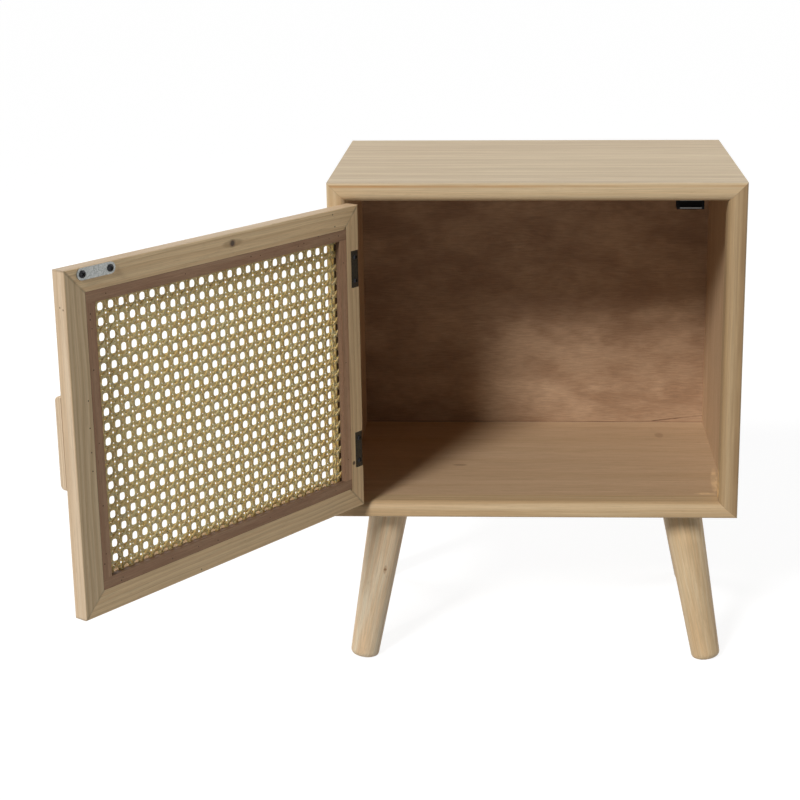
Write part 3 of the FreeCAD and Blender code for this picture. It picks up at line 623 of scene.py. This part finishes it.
def local_point(look, origin, axes, size=(1, 1, 1)):
    """A point of the piece, counted from an origin along the given axes in steps of this size."""
    sockets = {"Location": origin, "Rotation": axes.to_euler(), "Scale": size, "Vector": look.place()}
    return look.node("Mapping", sockets, vector_type="TEXTURE").outputs["Vector"]


def grain_layer(look, point, size, layer):
    """Streaks of one size along and across the grain, from 0 to 1."""
    along, across = size
    detail, roughness, span = layer
    streaks = look.noise(point, (along, across, across), detail, roughness)
    return look.span(streaks.outputs["Fac"], *span)


def wood_colour(look, wood, axes, origin, pith):
    """The colour of a piece of wood and the height of its surface, from rings about a pith beside it."""
    point = local_point(look, origin, axes)
    sway = look.noise(point, SWAY_SIZE).outputs["Color"]
    reach = (0, wood["sway"], wood["sway"])
    sway = look.vector("MULTIPLY", look.vector("SUBTRACT", sway, (0.5, 0.5, 0.5)), reach)
    swayed = look.vector("ADD", point, sway)
    from_pith = look.vector("MULTIPLY", look.vector("SUBTRACT", swayed, (0, *pith)), PITH_STRETCH)
    years = look.times(look.vector("LENGTH", from_pith), 1 / wood["ring"])
    ring = look.ramp(look.math("FRACT", years), *RING_STOPS)
    band = grain_layer(look, swayed, wood["band_size"], BAND_LAYER)
    fibre = grain_layer(look, swayed, wood["fibre_size"], FIBRE_LAYER)
    pore = grain_layer(look, swayed, wood["pore_size"], PORE_LAYER)

    colour = look.mix(look.times(ring, wood["ring_share"]), wood["light"], wood["dark"])
    colour = look.mix(look.times(band, wood["band_share"]), colour, wood["band"])
    dim = 1 - wood["fibre_share"]
    bright = 1 + wood["fibre_share"] * PALE_FIBRE_SHARE
    colour = look.brighten(colour, look.stretch(fibre, dim, bright))
    colour = look.mix(look.times(pore, wood["pore_share"]), colour, wood["pore"])
    height = look.math("SUBTRACT", fibre, pore)
    return colour, height


def finish_wood(look, wood, colour, height):
    """Lays the colour on, smoother on the raised grain than in its hollows."""
    look.set("Base Color", colour)
    hollow = wood["roughness"] + HOLLOW_ROUGHNESS
    raised = wood["roughness"] - RAISED_SMOOTHNESS
    look.set("Roughness", look.stretch(height, hollow, raised))
    look.set("Specular IOR Level", WOOD_SHINE)
    look.bump(height, wood["bump"])


def seam(look, colour, line, out, share, width=JOINT_WIDTH, shade=JOINT_SHADE):
    """A line on the surface, such as a joint or a streak, in the plane of two points and a direction."""
    start, end = line
    across = (end - start).cross(Vector(out)).normalized()
    off = look.vector("DOT_PRODUCT", look.vector("SUBTRACT", look.place(), start), across)
    mark = look.math("SUBTRACT", 1.0, look.span(look.math("ABSOLUTE", off), width * LINE_CORE, width))
    return look.mix(look.times(mark, share), colour, shade)


def spot(look, colour, centre, axes, size, shade, share):
    """A round or long mark through the piece along the given axes, such as a knot or a nail hole."""
    near = look.vector("MULTIPLY", local_point(look, centre, axes, (*size, 1.0)), (1, 1, 0))
    mark = look.math("SUBTRACT", 1.0, look.span(look.vector("LENGTH", near), *SPOT_SPAN))
    return look.mix(look.times(mark, share), colour, shade)


def spots(look, colour, centre, axes, rings):
    """A mark of several rings, from the widest to the innermost."""
    for size, shade, share in rings:
        colour = spot(look, colour, centre, axes, size, shade, share)
    return colour


def patchy(look, size, low, high):
    """A share that comes and goes between low and high over the piece, in patches of this size."""
    patch = look.noise(look.place(), size).outputs["Fac"]
    return look.stretch(look.span(patch, *PATCH_SPAN), low, high)


def dress(name, look):
    """Gives a CAD node its look."""
    slots = frame["nodes"][name].data.materials
    slots.clear()
    slots.append(look.material)


def middle_of(name):
    low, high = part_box(name)
    return (Vector(low) + Vector(high)) / 2


def dress_wood(name, wood, axes, pith, marks=None):
    """A piece of one wood."""
    look = Look(name)
    colour, height = wood_colour(look, wood, axes, middle_of(name), pith)
    if marks:
        colour = marks(look, colour)
    finish_wood(look, wood, colour, height)
    dress(name, look)


def dress_two_woods(name, first, second, axes, out, piths, marks=None):
    """A piece whose faces that look one way show a second wood, such as a veneer."""
    look = Look(name)
    colour, height = wood_colour(look, first, axes[0], middle_of(name), piths[0])
    other, other_height = wood_colour(look, second, axes[1], Vector(), piths[1])
    share = look.facing(out)
    colour = look.mix(share, colour, other)
    height = look.mix(share, height, other_height)
    if marks:
        colour = marks(look, colour)
    finish_wood(look, first, colour, height)
    dress(name, look)


def floor_marks(look, colour):
    """Two small stains on the cabinet floor and a smear of filler in its right front corner."""
    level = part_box("bottom_panel")[1][2]
    for place, size, share in FLOOR_STAINS:
        colour = spot(look, colour, (*place, level), GRAIN_X_UP, size, STAIN, share)
    patches = patchy(look, FLOOR_FILLER_PATCH, *FLOOR_FILLER_SHARES)
    ragged = look.times(patches, look.facing((0, 0, 1)))
    for place, size, angle in FLOOR_SMEARS:
        aslant = Matrix.Rotation(angle, 3, "Z")
        colour = spot(look, colour, (*place, level), aslant, size, FLOOR_FILLER, ragged)
    return colour


def side_marks(look, colour):
    """Wood filler that was smeared in the lower front corner of the right side."""
    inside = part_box("right_side_panel")[0][0]
    patches = patchy(look, SIDE_FILLER_PATCH, *SIDE_FILLER_SHARES)
    ragged = look.times(patches, look.facing((-1, 0, 0), *SIDE_FILLER_FACING))
    share = look.times(ragged, SIDE_FILLER_STRENGTH)
    place = (inside, *SIDE_FILLER_PLACE)
    return spot(look, colour, place, GRAIN_Z_SIDE, SIDE_FILLER_SIZE, SIDE_FILLER, share)


def back_marks(look, colour):
    """The ragged lower edge of the plywood, dark along the floor and split near its right end."""
    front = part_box("back_panel")[0][1]
    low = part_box("bottom_panel")[1][2]
    gap = (Vector((0, front, low)), Vector((1, front, low)))
    share = patchy(look, GAP_PATCH, *GAP_SHARES)
    colour = seam(look, colour, gap, (0, 1, 0), share, GAP_WIDTH, CRACK)
    split = (Vector((SPLIT_LEFT, front, low)), Vector((SPLIT_RIGHT, front, low + SPLIT_RISE)))
    fade = look.span(look.vector("DOT_PRODUCT", look.place(), (1, 0, 0)), *SPLIT_FADE)
    share = look.times(fade, patchy(look, SPLIT_PATCH, *SPLIT_SHARES))
    return seam(look, colour, split, (0, 1, 0), share, SPLIT_WIDTH, CRACK)


def dress_panels():
    """The boards of the case, veneered outside and inside, and the plywood back."""
    level = (GRAIN_X_UP, GRAIN_X_UP)
    erect = (GRAIN_Z_SIDE, GRAIN_Z_SIDE)
    piths = (INNER_PITH, VENEER_PITH)
    dress_two_woods("top_panel", INNER_VENEER, VENEER, level, (0, 0, 1), piths)
    dress_two_woods("left_side_panel", INNER_VENEER, VENEER, erect, (-1, 0, 0), piths)
    dress_two_woods("right_side_panel", INNER_VENEER, VENEER, erect, (1, 0, 0), piths, side_marks)
    piths = (VENEER_PITH, FLOOR_PITH)
    dress_two_woods("bottom_panel", VENEER, INNER_VENEER, level, (0, 0, 1), piths, floor_marks)
    dress_wood("back_panel", LAUAN, GRAIN_X_FRONT, BACK_PITH, back_marks)


def lipping_joints():
    """The mitres between the lippings, each from its outer to its inner corner on the front."""
    low, high = (Vector(corner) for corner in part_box("top_lipping"))
    foot, sill = (Vector(corner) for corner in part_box("bottom_lipping"))
    inner_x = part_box("right_lipping")[0][0]
    joints = {}
    for side, outer_x, inside_x in (("left", low.x, -inner_x), ("right", high.x, inner_x)):
        joints["top_" + side] = (Vector((outer_x, low.y, high.z)), Vector((inside_x, low.y, low.z)))
        joints["bottom_" + side] = (Vector((outer_x, low.y, foot.z)), Vector((inside_x, low.y, sill.z)))
    return joints


def lipping_streaks():
    """The lines of the dark streaks, with their width and shade."""
    low, high = (Vector(corner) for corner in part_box("top_lipping"))
    start, end = TOP_STREAK_INSETS
    top_line = (Vector((-1, low.y, high.z - start)), Vector((1, low.y, high.z - end)))
    start, end = RIGHT_STREAK_INSETS
    right_line = (Vector((high.x - start, low.y, 0)), Vector((high.x - end, low.y, 1)))
    return {"top_lipping": (top_line, *TOP_STREAK_LOOK), "right_lipping": (right_line, *RIGHT_STREAK_LOOK)}


def lipping_marks(name, joints, streaks):
    """The marks of one lipping: the mitres at its ends, and its streak and filler if it has them."""

    def add(look, colour):
        for joint in joints:
            colour = seam(look, colour, joint, (0, 1, 0), LIPPING_JOINT_SHARE)
        if name in streaks:
            line, width, shade = streaks[name]
            share = patchy(look, STREAK_PATCH, *STREAK_SHARES)
            colour = seam(look, colour, line, (0, 1, 0), share, width, shade)
        if name == "right_lipping":
            colour = side_marks(look, colour)
        return colour

    return add


def dress_lippings():
    """Solid lippings, which show the veneer on the side that continues a panel's outer face."""
    joints = lipping_joints()
    streaks = lipping_streaks()
    level = (GRAIN_X_FRONT, GRAIN_X_UP)
    erect = (GRAIN_Z_FRONT, GRAIN_Z_SIDE)
    lippings = {
        "top_lipping": (PINE, level, (0, 0, 1), (0.012, -0.09), ("top_left", "top_right")),
        "bottom_lipping": (LOW_PINE, level, (0, 0, -1), (-0.02, -0.05), ("bottom_left", "bottom_right")),
        "left_lipping": (PINE, erect, (-1, 0, 0), (0.03, -0.04), ("top_left", "bottom_left")),
        "right_lipping": (RIGHT_PINE, erect, (1, 0, 0), (-0.03, -0.03), ("top_right", "bottom_right")),
    }
    for name, (wood, axes, out, pith, ends) in lippings.items():
        marks = lipping_marks(name, [joints[end] for end in ends], streaks)
        dress_two_woods(name, wood, VENEER, axes, out, (pith, VENEER_PITH), marks)


def leg_axes(name):
    """The grain of a leg runs along its axis, from the middle of its foot to the middle of its top."""
    points = [v.co for v in frame["nodes"][name].data.vertices]
    top = max(p.z for p in points)
    foot = min(p.z for p in points)
    upper = [p for p in points if p.z > top - LEG_TOP_SHARE * (top - foot)]
    lower = [p for p in points if p.z < foot + LEG_FOOT_SHARE * (top - foot)]
    along = (sum(upper, Vector()) / len(upper) - sum(lower, Vector()) / len(lower)).normalized()
    across = along.cross(Vector((0, 1, 0))).normalized()
    out = along.cross(across)
    return Matrix((along, across, out)).transposed()


def leg_knot(axes):
    """A small knot that is drawn out along the grain of a leg."""

    def add(look, colour):
        return spots(look, colour, LEG_KNOT_PLACE, axes, LEG_KNOT_RINGS)

    return add


def dress_legs():
    for name, (wood, pith) in LEGS.items():
        axes = leg_axes(name)
        marks = leg_knot(axes) if name == "front_left_leg" else None
        dress_wood(name, wood, axes, pith, marks)


def mitres(look, colour, *corners):
    """Corner joints in the back of the door's frame, with a smear of old glue along each."""
    for upright, across in corners:
        start = door_spot(DOOR_OUTER[upright], DOOR_FACE, DOOR_OUTER[across])
        end = door_spot(DOOR_INNER[upright], DOOR_FACE, DOOR_INNER[across])
        smear = patchy(look, GLUE_PATCH, *GLUE_SHARES)
        colour = seam(look, colour, (start, end), DOOR_BACK, smear, GLUE_WIDTH, GLUE)
        colour = seam(look, colour, (start, end), DOOR_BACK, MITRE_SHARE)
    return colour


def nail_holes(look, colour, places, radius=NAIL_RADIUS):
    """Nail holes in the back of the door."""
    for x, z in places:
        centre = door_spot(x * MM, DOOR_FACE, z * MM)
        colour = spot(look, colour, centre, DOOR_ERECT, (radius, radius), NAIL_HOLE, NAIL_HOLE_SHARE)
    return colour


def top_rail_marks(look, colour):
    colour = mitres(look, colour, ("left", "top"), ("right", "top"))
    x, z = RAIL_KNOT_PLACE
    colour = spots(look, colour, door_spot(x, DOOR_FACE, z), DOOR_LEVEL, RAIL_KNOT_RINGS)
    return nail_holes(look, colour, TOP_RAIL_HOLES)


def bottom_rail_marks(look, colour):
    colour = mitres(look, colour, ("left", "bottom"), ("right", "bottom"))
    return nail_holes(look, colour, BOTTOM_RAIL_HOLES)


def free_stile_marks(look, colour):
    """Its mitres, and two filled nail holes in its outer edge."""
    colour = mitres(look, colour, ("right", "top"), ("right", "bottom"))
    for y, z in EDGE_PLUGS:
        centre = door_spot(DOOR_OUTER["right"], y, z)
        colour = spot(look, colour, centre, DOOR_SIDE, EDGE_PLUG_SIZE, EDGE_PLUG, EDGE_PLUG_SHARE)
    return colour


def hinge_stile_marks(look, colour):
    """Its mitres, a large nail hole, and painted shade in its rebate."""
    colour = mitres(look, colour, ("left", "top"), ("left", "bottom"))
    # Painted shade on the rebate faces that look to the back, not the colour of the wood
    depth = look.vector("DOT_PRODUCT", look.vector("SUBTRACT", look.place(), PIN), DOOR_BACK)
    sunk = look.math("SUBTRACT", 1.0, look.span(depth, *REBATE_DEPTHS))
    share = look.times(sunk, look.facing(DOOR_BACK))
    colour = look.mix(look.times(share, REBATE_SHADE_SHARE), colour, REBATE_SHADE)
    return nail_holes(look, colour, HINGE_STILE_HOLES, HINGE_STILE_HOLE_RADIUS)


def dress_door():
    """The frame of the door, with a second wood on its upper and free edges, and the pull."""
    level = (DOOR_LEVEL, DOOR_LEVEL)
    piths = ((-0.01, -0.05), (0.02, 0.04))
    # The rails and the hinge stile take the paler copy of the door pine, which is painted light
    dress_two_woods("door_top_rail", DOOR_PINE_WITH_PAINTED_LIGHT, EDGE_PINE, level, (0, 0, 1), piths, top_rail_marks)
    dress_wood("door_bottom_rail", DOOR_PINE_WITH_PAINTED_LIGHT, DOOR_LEVEL, pith=(0.02, -0.06), marks=bottom_rail_marks)
    dress_wood("door_hinge_stile", DOOR_PINE_WITH_PAINTED_LIGHT, DOOR_ERECT, pith=(0.015, -0.05), marks=hinge_stile_marks)
    erect = (DOOR_ERECT, DOOR_ERECT)
    piths = ((-0.02, -0.06), (0.03, 0.03))
    dress_two_woods("door_free_stile", DOOR_PINE, EDGE_PINE, erect, DOOR_ALONG, piths, free_stile_marks)
    dress_wood("pull_handle", EDGE_PINE, DOOR_ERECT, pith=(0.02, 0.05))


def bead_marks(inwards, holes):
    """Nail holes, and painted shade on the edge that looks into the opening."""

    def add(look, colour):
        colour = nail_holes(look, colour, holes)
        # Painted shade on the faces that look into the opening
        return look.mix(look.times(look.facing(inwards), BEAD_EDGE_SHADE_SHARE), colour, BEAD_EDGE_SHADE)

    return add


def dress_beads():
    beads = {
        "top_bead": (BEAD_WOOD, DOOR_LEVEL, (0, 0, -1), TOP_BEAD_HOLES),
        "bottom_bead": (BEAD_WOOD, DOOR_LEVEL, (0, 0, 1), BOTTOM_BEAD_HOLES),
        "hinge_side_bead": (PALE_BEAD_WOOD, DOOR_ERECT, DOOR_ALONG, ()),
        "free_side_bead": (BEAD_WOOD, DOOR_ERECT, -DOOR_ALONG, FREE_BEAD_HOLES),
    }
    for name, (wood, axes, inwards, holes) in beads.items():
        dress_wood(name, wood, axes, BEAD_PITH, bead_marks(inwards, holes))


def metal_look(name, light, dark, roughness, grain, metallic, shine):
    """Plated or painted metal, or plastic, with a mottled tone and fine wear."""
    look = Look(name)
    mottle = look.noise(look.place(), (grain, grain, grain), *MOTTLE_NOISE).outputs["Fac"]
    look.set("Base Color", look.mix(look.span(mottle, *MOTTLE_SPAN), dark, light))
    bright = roughness - BRIGHT_SMOOTHNESS
    dull = roughness + DULL_ROUGHNESS
    look.set("Roughness", look.stretch(mottle, bright, dull))
    look.set("Metallic", metallic)
    look.set("Specular IOR Level", shine)
    look.bump(mottle, *MOTTLE_BUMP)
    return look


def dress_metal():
    looks = {name: metal_look(name, *values) for name, values in METALS.items()}
    for metal, names in METAL_NODES.items():
        for name in names:
            dress(name, looks[metal])
    make_screws("hinge_screw_heads", "door_hinge_screws", looks["black_steel"])
    make_screws("strike_screw_heads", "strike_plate_screws", looks["black_steel"])


def screw_points(name):
    """The screws of a door node, each as the list of its points in the door's own frame."""
    back = DOOR.inverted()
    screws = []
    for vertex in frame["nodes"][name].data.vertices:
        point = back @ vertex.co
        for screw in screws:
            off = point - screw[0]
            if math.hypot(off.x, off.z) < SCREW_REACH:
                screw.append(point)
                break
        else:
            screws.append([point])
    return screws


def make_screws(name, node, look):
    """Pan-head screws with a cross recess, each in the place of a plain one in the door's back."""
    points = []
    faces = []
    chance = random.Random(SCREW_SEED)
    for solid in screw_points(node):
        low, high = box_of(solid)
        middle = (low + high) / 2
        radius = (high.x - low.x) / 2
        tip = [p for p in solid if p.y < low.y + TIP_DEPTH]
        shank = max(p.x for p in tip) - middle.x
        seat = min(p.y for p in solid if p.x - middle.x > (radius + shank) / 2)
        turn = chance.uniform(0, SCREW_TURN)
        add_screw(points, faces, middle, (low.y, seat, high.y), (shank, radius), turn)
    mesh = bpy.data.meshes.new(name)
    mesh.from_pydata(points, [], faces)
    mesh.materials.append(look.material)
    mesh.update()
    screws = add_object(name, mesh)
    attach(screws, "door")
    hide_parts(node)


def add_screw(points, faces, middle, levels, radii, turn):
    """One screw along the door's +Y, from the tip of its shank to the crown of its head."""
    tip, seat, crown = levels
    shank, radius = radii
    rise = crown - seat
    rings = [(shank, tip), (shank, seat), (radius, seat), (radius, seat + HEAD_EDGE * rise)]
    plain_rings = len(rings)
    for number in range(1, DOME_STEPS):
        across = 1 - number / DOME_STEPS
        dome = HEAD_EDGE + (1 - HEAD_EDGE) * (1 - across**DOME_POWER)
        rings.append((radius * across, seat + dome * rise))
    start = len(points)
    points.append(door_spot(middle.x, tip, middle.z))
    for number, (reach, level) in enumerate(rings):
        for i in range(SCREW_SIDES):
            angle = 2 * math.pi * i / SCREW_SIDES
            x = reach * math.cos(angle)
            z = reach * math.sin(angle)
            depth = recess_depth(x, z, radius) * rise if number >= plain_rings else 0
            spin_x = x * math.cos(turn) - z * math.sin(turn)
            spin_z = x * math.sin(turn) + z * math.cos(turn)
            points.append(door_spot(middle.x + spin_x, level - depth, middle.z + spin_z))
    last = len(points)
    points.append(door_spot(middle.x, crown - RECESS_SHARE * rise, middle.z))
    add_screw_faces(faces, start, last)


def add_screw_faces(faces, start, last):
    """The faces of one screw, from the point at its tip to the point at the bottom of its recess."""
    for i in range(SCREW_SIDES):
        j = (i + 1) % SCREW_SIDES
        faces.append((start, start + 1 + i, start + 1 + j))
        for first in range(start + 1, last - SCREW_SIDES, SCREW_SIDES):
            faces.append((first + i, first + SCREW_SIDES + i, first + SCREW_SIDES + j, first + j))
        first = last - SCREW_SIDES
        faces.append((first + i, last, first + j))


def recess_depth(x, z, radius):
    """How deep the cross recess is at a place on the head, as a share of the head's rise."""
    near = min(abs(x), abs(z))
    far = max(abs(x), abs(z))
    return RECESS_SHARE if near < RECESS_ARM * radius and far < RECESS_REACH * radius else 0.0


class Weave:
    """Gathers flat strands into one mesh, each with a tone of its own and a measure along and across it."""

    def __init__(self):
        self.points = []
        self.faces = []
        self.tones = []
        self.along = []
        self.across = []
        self.chance = random.Random(STRAND_SEED)

    def strand(self, path, width):
        """One flat strand along a list of points in the door's own frame."""
        half = width / 2
        thick = STRAND_THICKNESS / 2
        sides = len(STRAND_SECTION)
        run = (path[-1] - path[0]).normalized()
        side = run.cross(Vector((0, 1, 0)))
        shade = self.chance.random()
        start = len(self.points)
        for number, point in enumerate(path):
            for across, up in STRAND_SECTION:
                corner = point + side * (across * half) + Vector((0, up * thick, 0))
                self.points.append(door_spot(*corner))
                self.tones.append(shade)
                self.along.append((point - path[0]).length + shade)
                self.across.append(across * half)
            if number:
                self.join_rings(start + (number - 1) * sides, sides)
        self.faces.append([start + i for i in reversed(range(sides))])
        last = len(self.points) - sides
        self.faces.append([last + i for i in range(sides)])

    def join_rings(self, first, count):
        for i in range(count):
            j = (i + 1) % count
            self.faces.append([first + i, first + j, first + count + j, first + count + i])

    def build(self, name):
        mesh = bpy.data.meshes.new(name)
        mesh.from_pydata(self.points, [], self.faces)
        for label, values in (("tone", self.tones), ("along", self.along), ("across", self.across)):
            mesh.attributes.new(label, "FLOAT", "POINT").data.foreach_set("value", values)
        mesh.polygons.foreach_set("use_smooth", [True] * len(mesh.polygons))
        mesh.update()
        return add_object(name, mesh)


class CaneNet:
    """Lays strands by columns and rows of holes, counted from the top hole beside the free stile."""

    def __init__(self):
        low, high = door_box("cane_panel")
        left = door_box("hinge_side_bead")[1].x
        right = door_box("free_side_bead")[0].x
        bottom = door_box("bottom_bead")[1].z
        top = door_box("top_bead")[0].z
        self.depth = (low.y + high.y) / 2
        self.first_x = right - FIRST_HOLE_INSET[0]
        self.first_z = top - FIRST_HOLE_INSET[1]
        self.sides = (left - CANE_TUCK, right + CANE_TUCK)
        self.ends = (bottom - CANE_TUCK, top + CANE_TUCK)
        self.weave = Weave()
        self.chance = random.Random(SWAY_SEED)

    def sway(self):
        return self.chance.uniform(-CANE_SWAY, CANE_SWAY)

    def point(self, column, row, lift):
        x = self.first_x - column * HOLE_STEP[0]
        z = self.first_z - row * HOLE_STEP[1]
        return Vector((x, self.depth + lift, z))

    def inside(self, place):
        left, right = self.sides
        bottom, top = self.ends
        return left < place.x < right and bottom < place.z < top

    def add(self, path, width):
        kept = [place for place in path if self.inside(place)]
        if len(kept) >= FEWEST_POINTS:
            self.weave.strand(kept, width)


def cane_look():
    """Cane that lets light through, with fibres along each strand and a tone for each."""
    look = Look("cane")

    def attribute(name):
        return look.node("Attribute", attribute_name=name).outputs["Fac"]

    sockets = {"X": attribute("along"), "Y": attribute("across"), "Z": attribute("tone")}
    place = look.node("CombineXYZ", sockets).outputs["Vector"]
    fibre = look.noise(place, CANE_FIBRE_SIZE, CANE_FIBRE_DETAIL).outputs["Fac"]
    patch = look.noise(place, CANE_PATCH_SIZE).outputs["Fac"]
    colour = look.mix(attribute("tone"), CANE_PALE, CANE_GOLD)
    colour = look.mix(look.span(patch, *CANE_PATCH_SPAN), colour, CANE_PATCH)
    share = look.times(look.span(fibre, *CANE_FIBRE_SPAN), CANE_FIBRE_SHARE)
    look.set("Base Color", look.mix(share, colour, CANE_FIBRE))
    look.set("Roughness", CANE_ROUGHNESS)
    look.set("Specular IOR Level", CANE_SHINE)
    look.set("Subsurface Weight", CANE_GLOW)
    look.set("Subsurface Radius", CANE_GLOW_REACH)
    look.set("Subsurface Scale", CANE_GLOW_DEPTH)
    look.bump(fibre, *CANE_BUMP)
    return look


def pair_path(count, gap_share, sign):
    """Where a strand of a pair lies along its run, counted in holes, and whether it is up or down."""
    for number in range(-SPARE_HOLES, count + SPARE_HOLES):
        yield number, 0
        yield number + 0.5 - gap_share, -sign
        yield number + 0.5, 0
        yield number + 0.5 + gap_share, sign


def add_uprights(net):
    step_x, step_z = HOLE_STEP
    for number in range(HOLE_COLUMNS + 1):
        for sign in (-1, 1):
            column = number - 0.5 + (sign * UPRIGHT_HALF_GAP + net.sway()) / step_x
            if number == HOLE_COLUMNS:
                column += LAST_PAIR_SHIFT / step_x
            run = pair_path(HOLE_ROWS, LEVEL_HALF_GAP / step_z, sign)
            net.add([net.point(column, row, up * PAIR_LIFT) for row, up in run], UPRIGHT_WIDTH)


def add_levels(net):
    step_x, step_z = HOLE_STEP
    for number in range(HOLE_ROWS + 1):
        for sign in (-1, 1):
            row = number - 0.5 + (sign * LEVEL_HALF_GAP + net.sway()) / step_z
            run = pair_path(HOLE_COLUMNS, UPRIGHT_HALF_GAP / step_x, -sign)
            net.add([net.point(column, row, up * PAIR_LIFT) for column, up in run], LEVEL_WIDTH)


def add_diagonals(net):
    first_step = -SPARE_HOLES * DIAGONAL_STEPS
    last_step = (HOLE_COLUMNS + SPARE_HOLES) * DIAGONAL_STEPS
    for slant in (-1, 1):
        for number in range(-HOLE_COLUMNS - SPARE_DIAGONALS, HOLE_ROWS + HOLE_COLUMNS + SPARE_DIAGONALS):
            path = []
            shift = number + 0.5 + net.sway() / HOLE_STEP[0]
            for step in range(first_step, last_step + 1):
                column = step / DIAGONAL_STEPS
                lift = -slant * DIAGONAL_LIFT * math.cos(2 * math.pi * column)
                bow = DIAGONAL_BOW * math.sin(2 * math.pi * column)
                place = net.point(column, shift + slant * column, lift)
                path.append(place + Vector((-bow, 0, slant * bow - DIAGONAL_DROP)))
            net.add(path, DIAGONAL_WIDTH)


def make_cane():
    """Six-way cane: pairs that interlace, and diagonals that pass over one pair and under the other."""
    net = CaneNet()
    add_uprights(net)
    add_levels(net)
    add_diagonals(net)
    cane = net.weave.build("cane_weave")
    cane.data.materials.append(cane_look().material)
    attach(cane, "door")
    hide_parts("cane_panel")


def add_camera():
    data = bpy.data.cameras.new("photo_camera")
    data.sensor_width = SENSOR_WIDTH
    data.lens = FOCAL_PIXELS * SENSOR_WIDTH / PICTURE_SIDE
    data.shift_x = 0.5 - MIDDLE_PIXEL[0] / PICTURE_SIDE
    data.shift_y = MIDDLE_PIXEL[1] / PICTURE_SIDE - 0.5
    data.clip_start = CLIP_START
    data.clip_end = CLIP_END
    camera = add_object("photo_camera", data)
    pan = Matrix.Rotation(CAMERA_YAW, 4, "Z")
    tilt = Matrix.Rotation(math.pi / 2 - CAMERA_PITCH, 4, "X")
    roll = Matrix.Rotation(CAMERA_ROLL, 4, "Z")
    camera.matrix_world = Matrix.Translation(CAMERA_PLACE) @ pan @ tilt @ roll
    bpy.context.scene.camera = camera


def add_lamp(data, azimuth, height, distance):
    """A lamp that looks at the middle of the object. Its azimuth runs from the front to the right."""
    lamp = add_object(data.name, data)
    level = Vector((math.sin(azimuth), -math.cos(azimuth), 0)) * math.cos(height)
    towards = level + Vector((0, 0, math.sin(height)))
    middle = (Vector(cad_box[0]) + Vector(cad_box[1])) / 2
    lamp.location = middle + towards * distance
    lamp.rotation_euler = towards.to_track_quat("Z", "Y").to_euler()


def add_lamps():
    key = bpy.data.lights.new("key", "SUN")
    key.angle = KEY_SPREAD
    key.energy = KEY_STRENGTH
    add_lamp(key, KEY_AZIMUTH, KEY_HEIGHT, KEY_DISTANCE)
    for name, (azimuth, height, distance, side, power) in PANELS.items():
        panel = bpy.data.lights.new(name, "AREA")
        panel.shape = "SQUARE"
        panel.size = side
        panel.energy = power
        add_lamp(panel, azimuth, height, distance)


def seen_directly(shader):
    """1 for camera, glossy and transmission rays, 0 for the rays that carry light onto the object."""
    path = shader.node("LightPath")
    total = path.outputs["Is Camera Ray"]
    for other in ("Is Glossy Ray", "Is Transmission Ray"):
        total = shader.math("MAXIMUM", total, path.outputs[other])
    return total


def light_room():
    """A room that is white to the eye and lights the object dimly."""
    world = bpy.data.worlds.new("studio")
    bpy.context.scene.world = world
    world.use_nodes = True
    shader = Shader(world.node_tree)
    shader.tree.nodes.clear()
    choice = shader.node("MixShader", {"Fac": seen_directly(shader)})
    for number, strength in ((1, ROOM_STRENGTH), (2, 1.0)):
        white = shader.node("Background", {"Color": (1, 1, 1, 1), "Strength": strength})
        shader.join(white.outputs[0], choice.inputs[number])
    shader.node("OutputWorld", {"Surface": choice.outputs[0]})


def floor_material():
    """Paint that is white to the eye and still darkens where the object shades it."""
    material = bpy.data.materials.new("studio_floor")
    material.use_nodes = True
    shader = Shader(material.node_tree)
    shader.tree.nodes.clear()
    greys = (FLOOR_PAINT, FLOOR_PAINT_SEEN)
    paints = [shader.node("BsdfDiffuse", {"Color": (grey, grey, grey, 1)}) for grey in greys]
    glow = shader.node("Emission", {"Strength": FLOOR_GLOW_SEEN})
    both = shader.node("AddShader")
    shader.join(paints[1].outputs[0], both.inputs[0])
    shader.join(glow.outputs[0], both.inputs[1])
    choice = shader.node("MixShader", {"Fac": seen_directly(shader)})
    shader.join(paints[0].outputs[0], choice.inputs[1])
    shader.join(both.outputs[0], choice.inputs[2])
    shader.node("OutputMaterial", {"Surface": choice.outputs[0]})
    return material


def add_floor():
    mesh = bpy.data.meshes.new("studio_floor")
    half = FLOOR_SIDE / 2
    corners = [(-half, -half, 0), (half, -half, 0), (half, half, 0), (-half, half, 0)]
    mesh.from_pydata(corners, [], [(0, 1, 2, 3)])
    floor = add_object("studio_floor", mesh)
    mesh.materials.append(floor_material())


add_camera()
add_lamps()
light_room()
add_floor()
dress_panels()
dress_lippings()
dress_legs()
dress_door()
dress_beads()
dress_metal()
make_cane()

bpy.context.scene.view_settings.view_transform = "Standard"
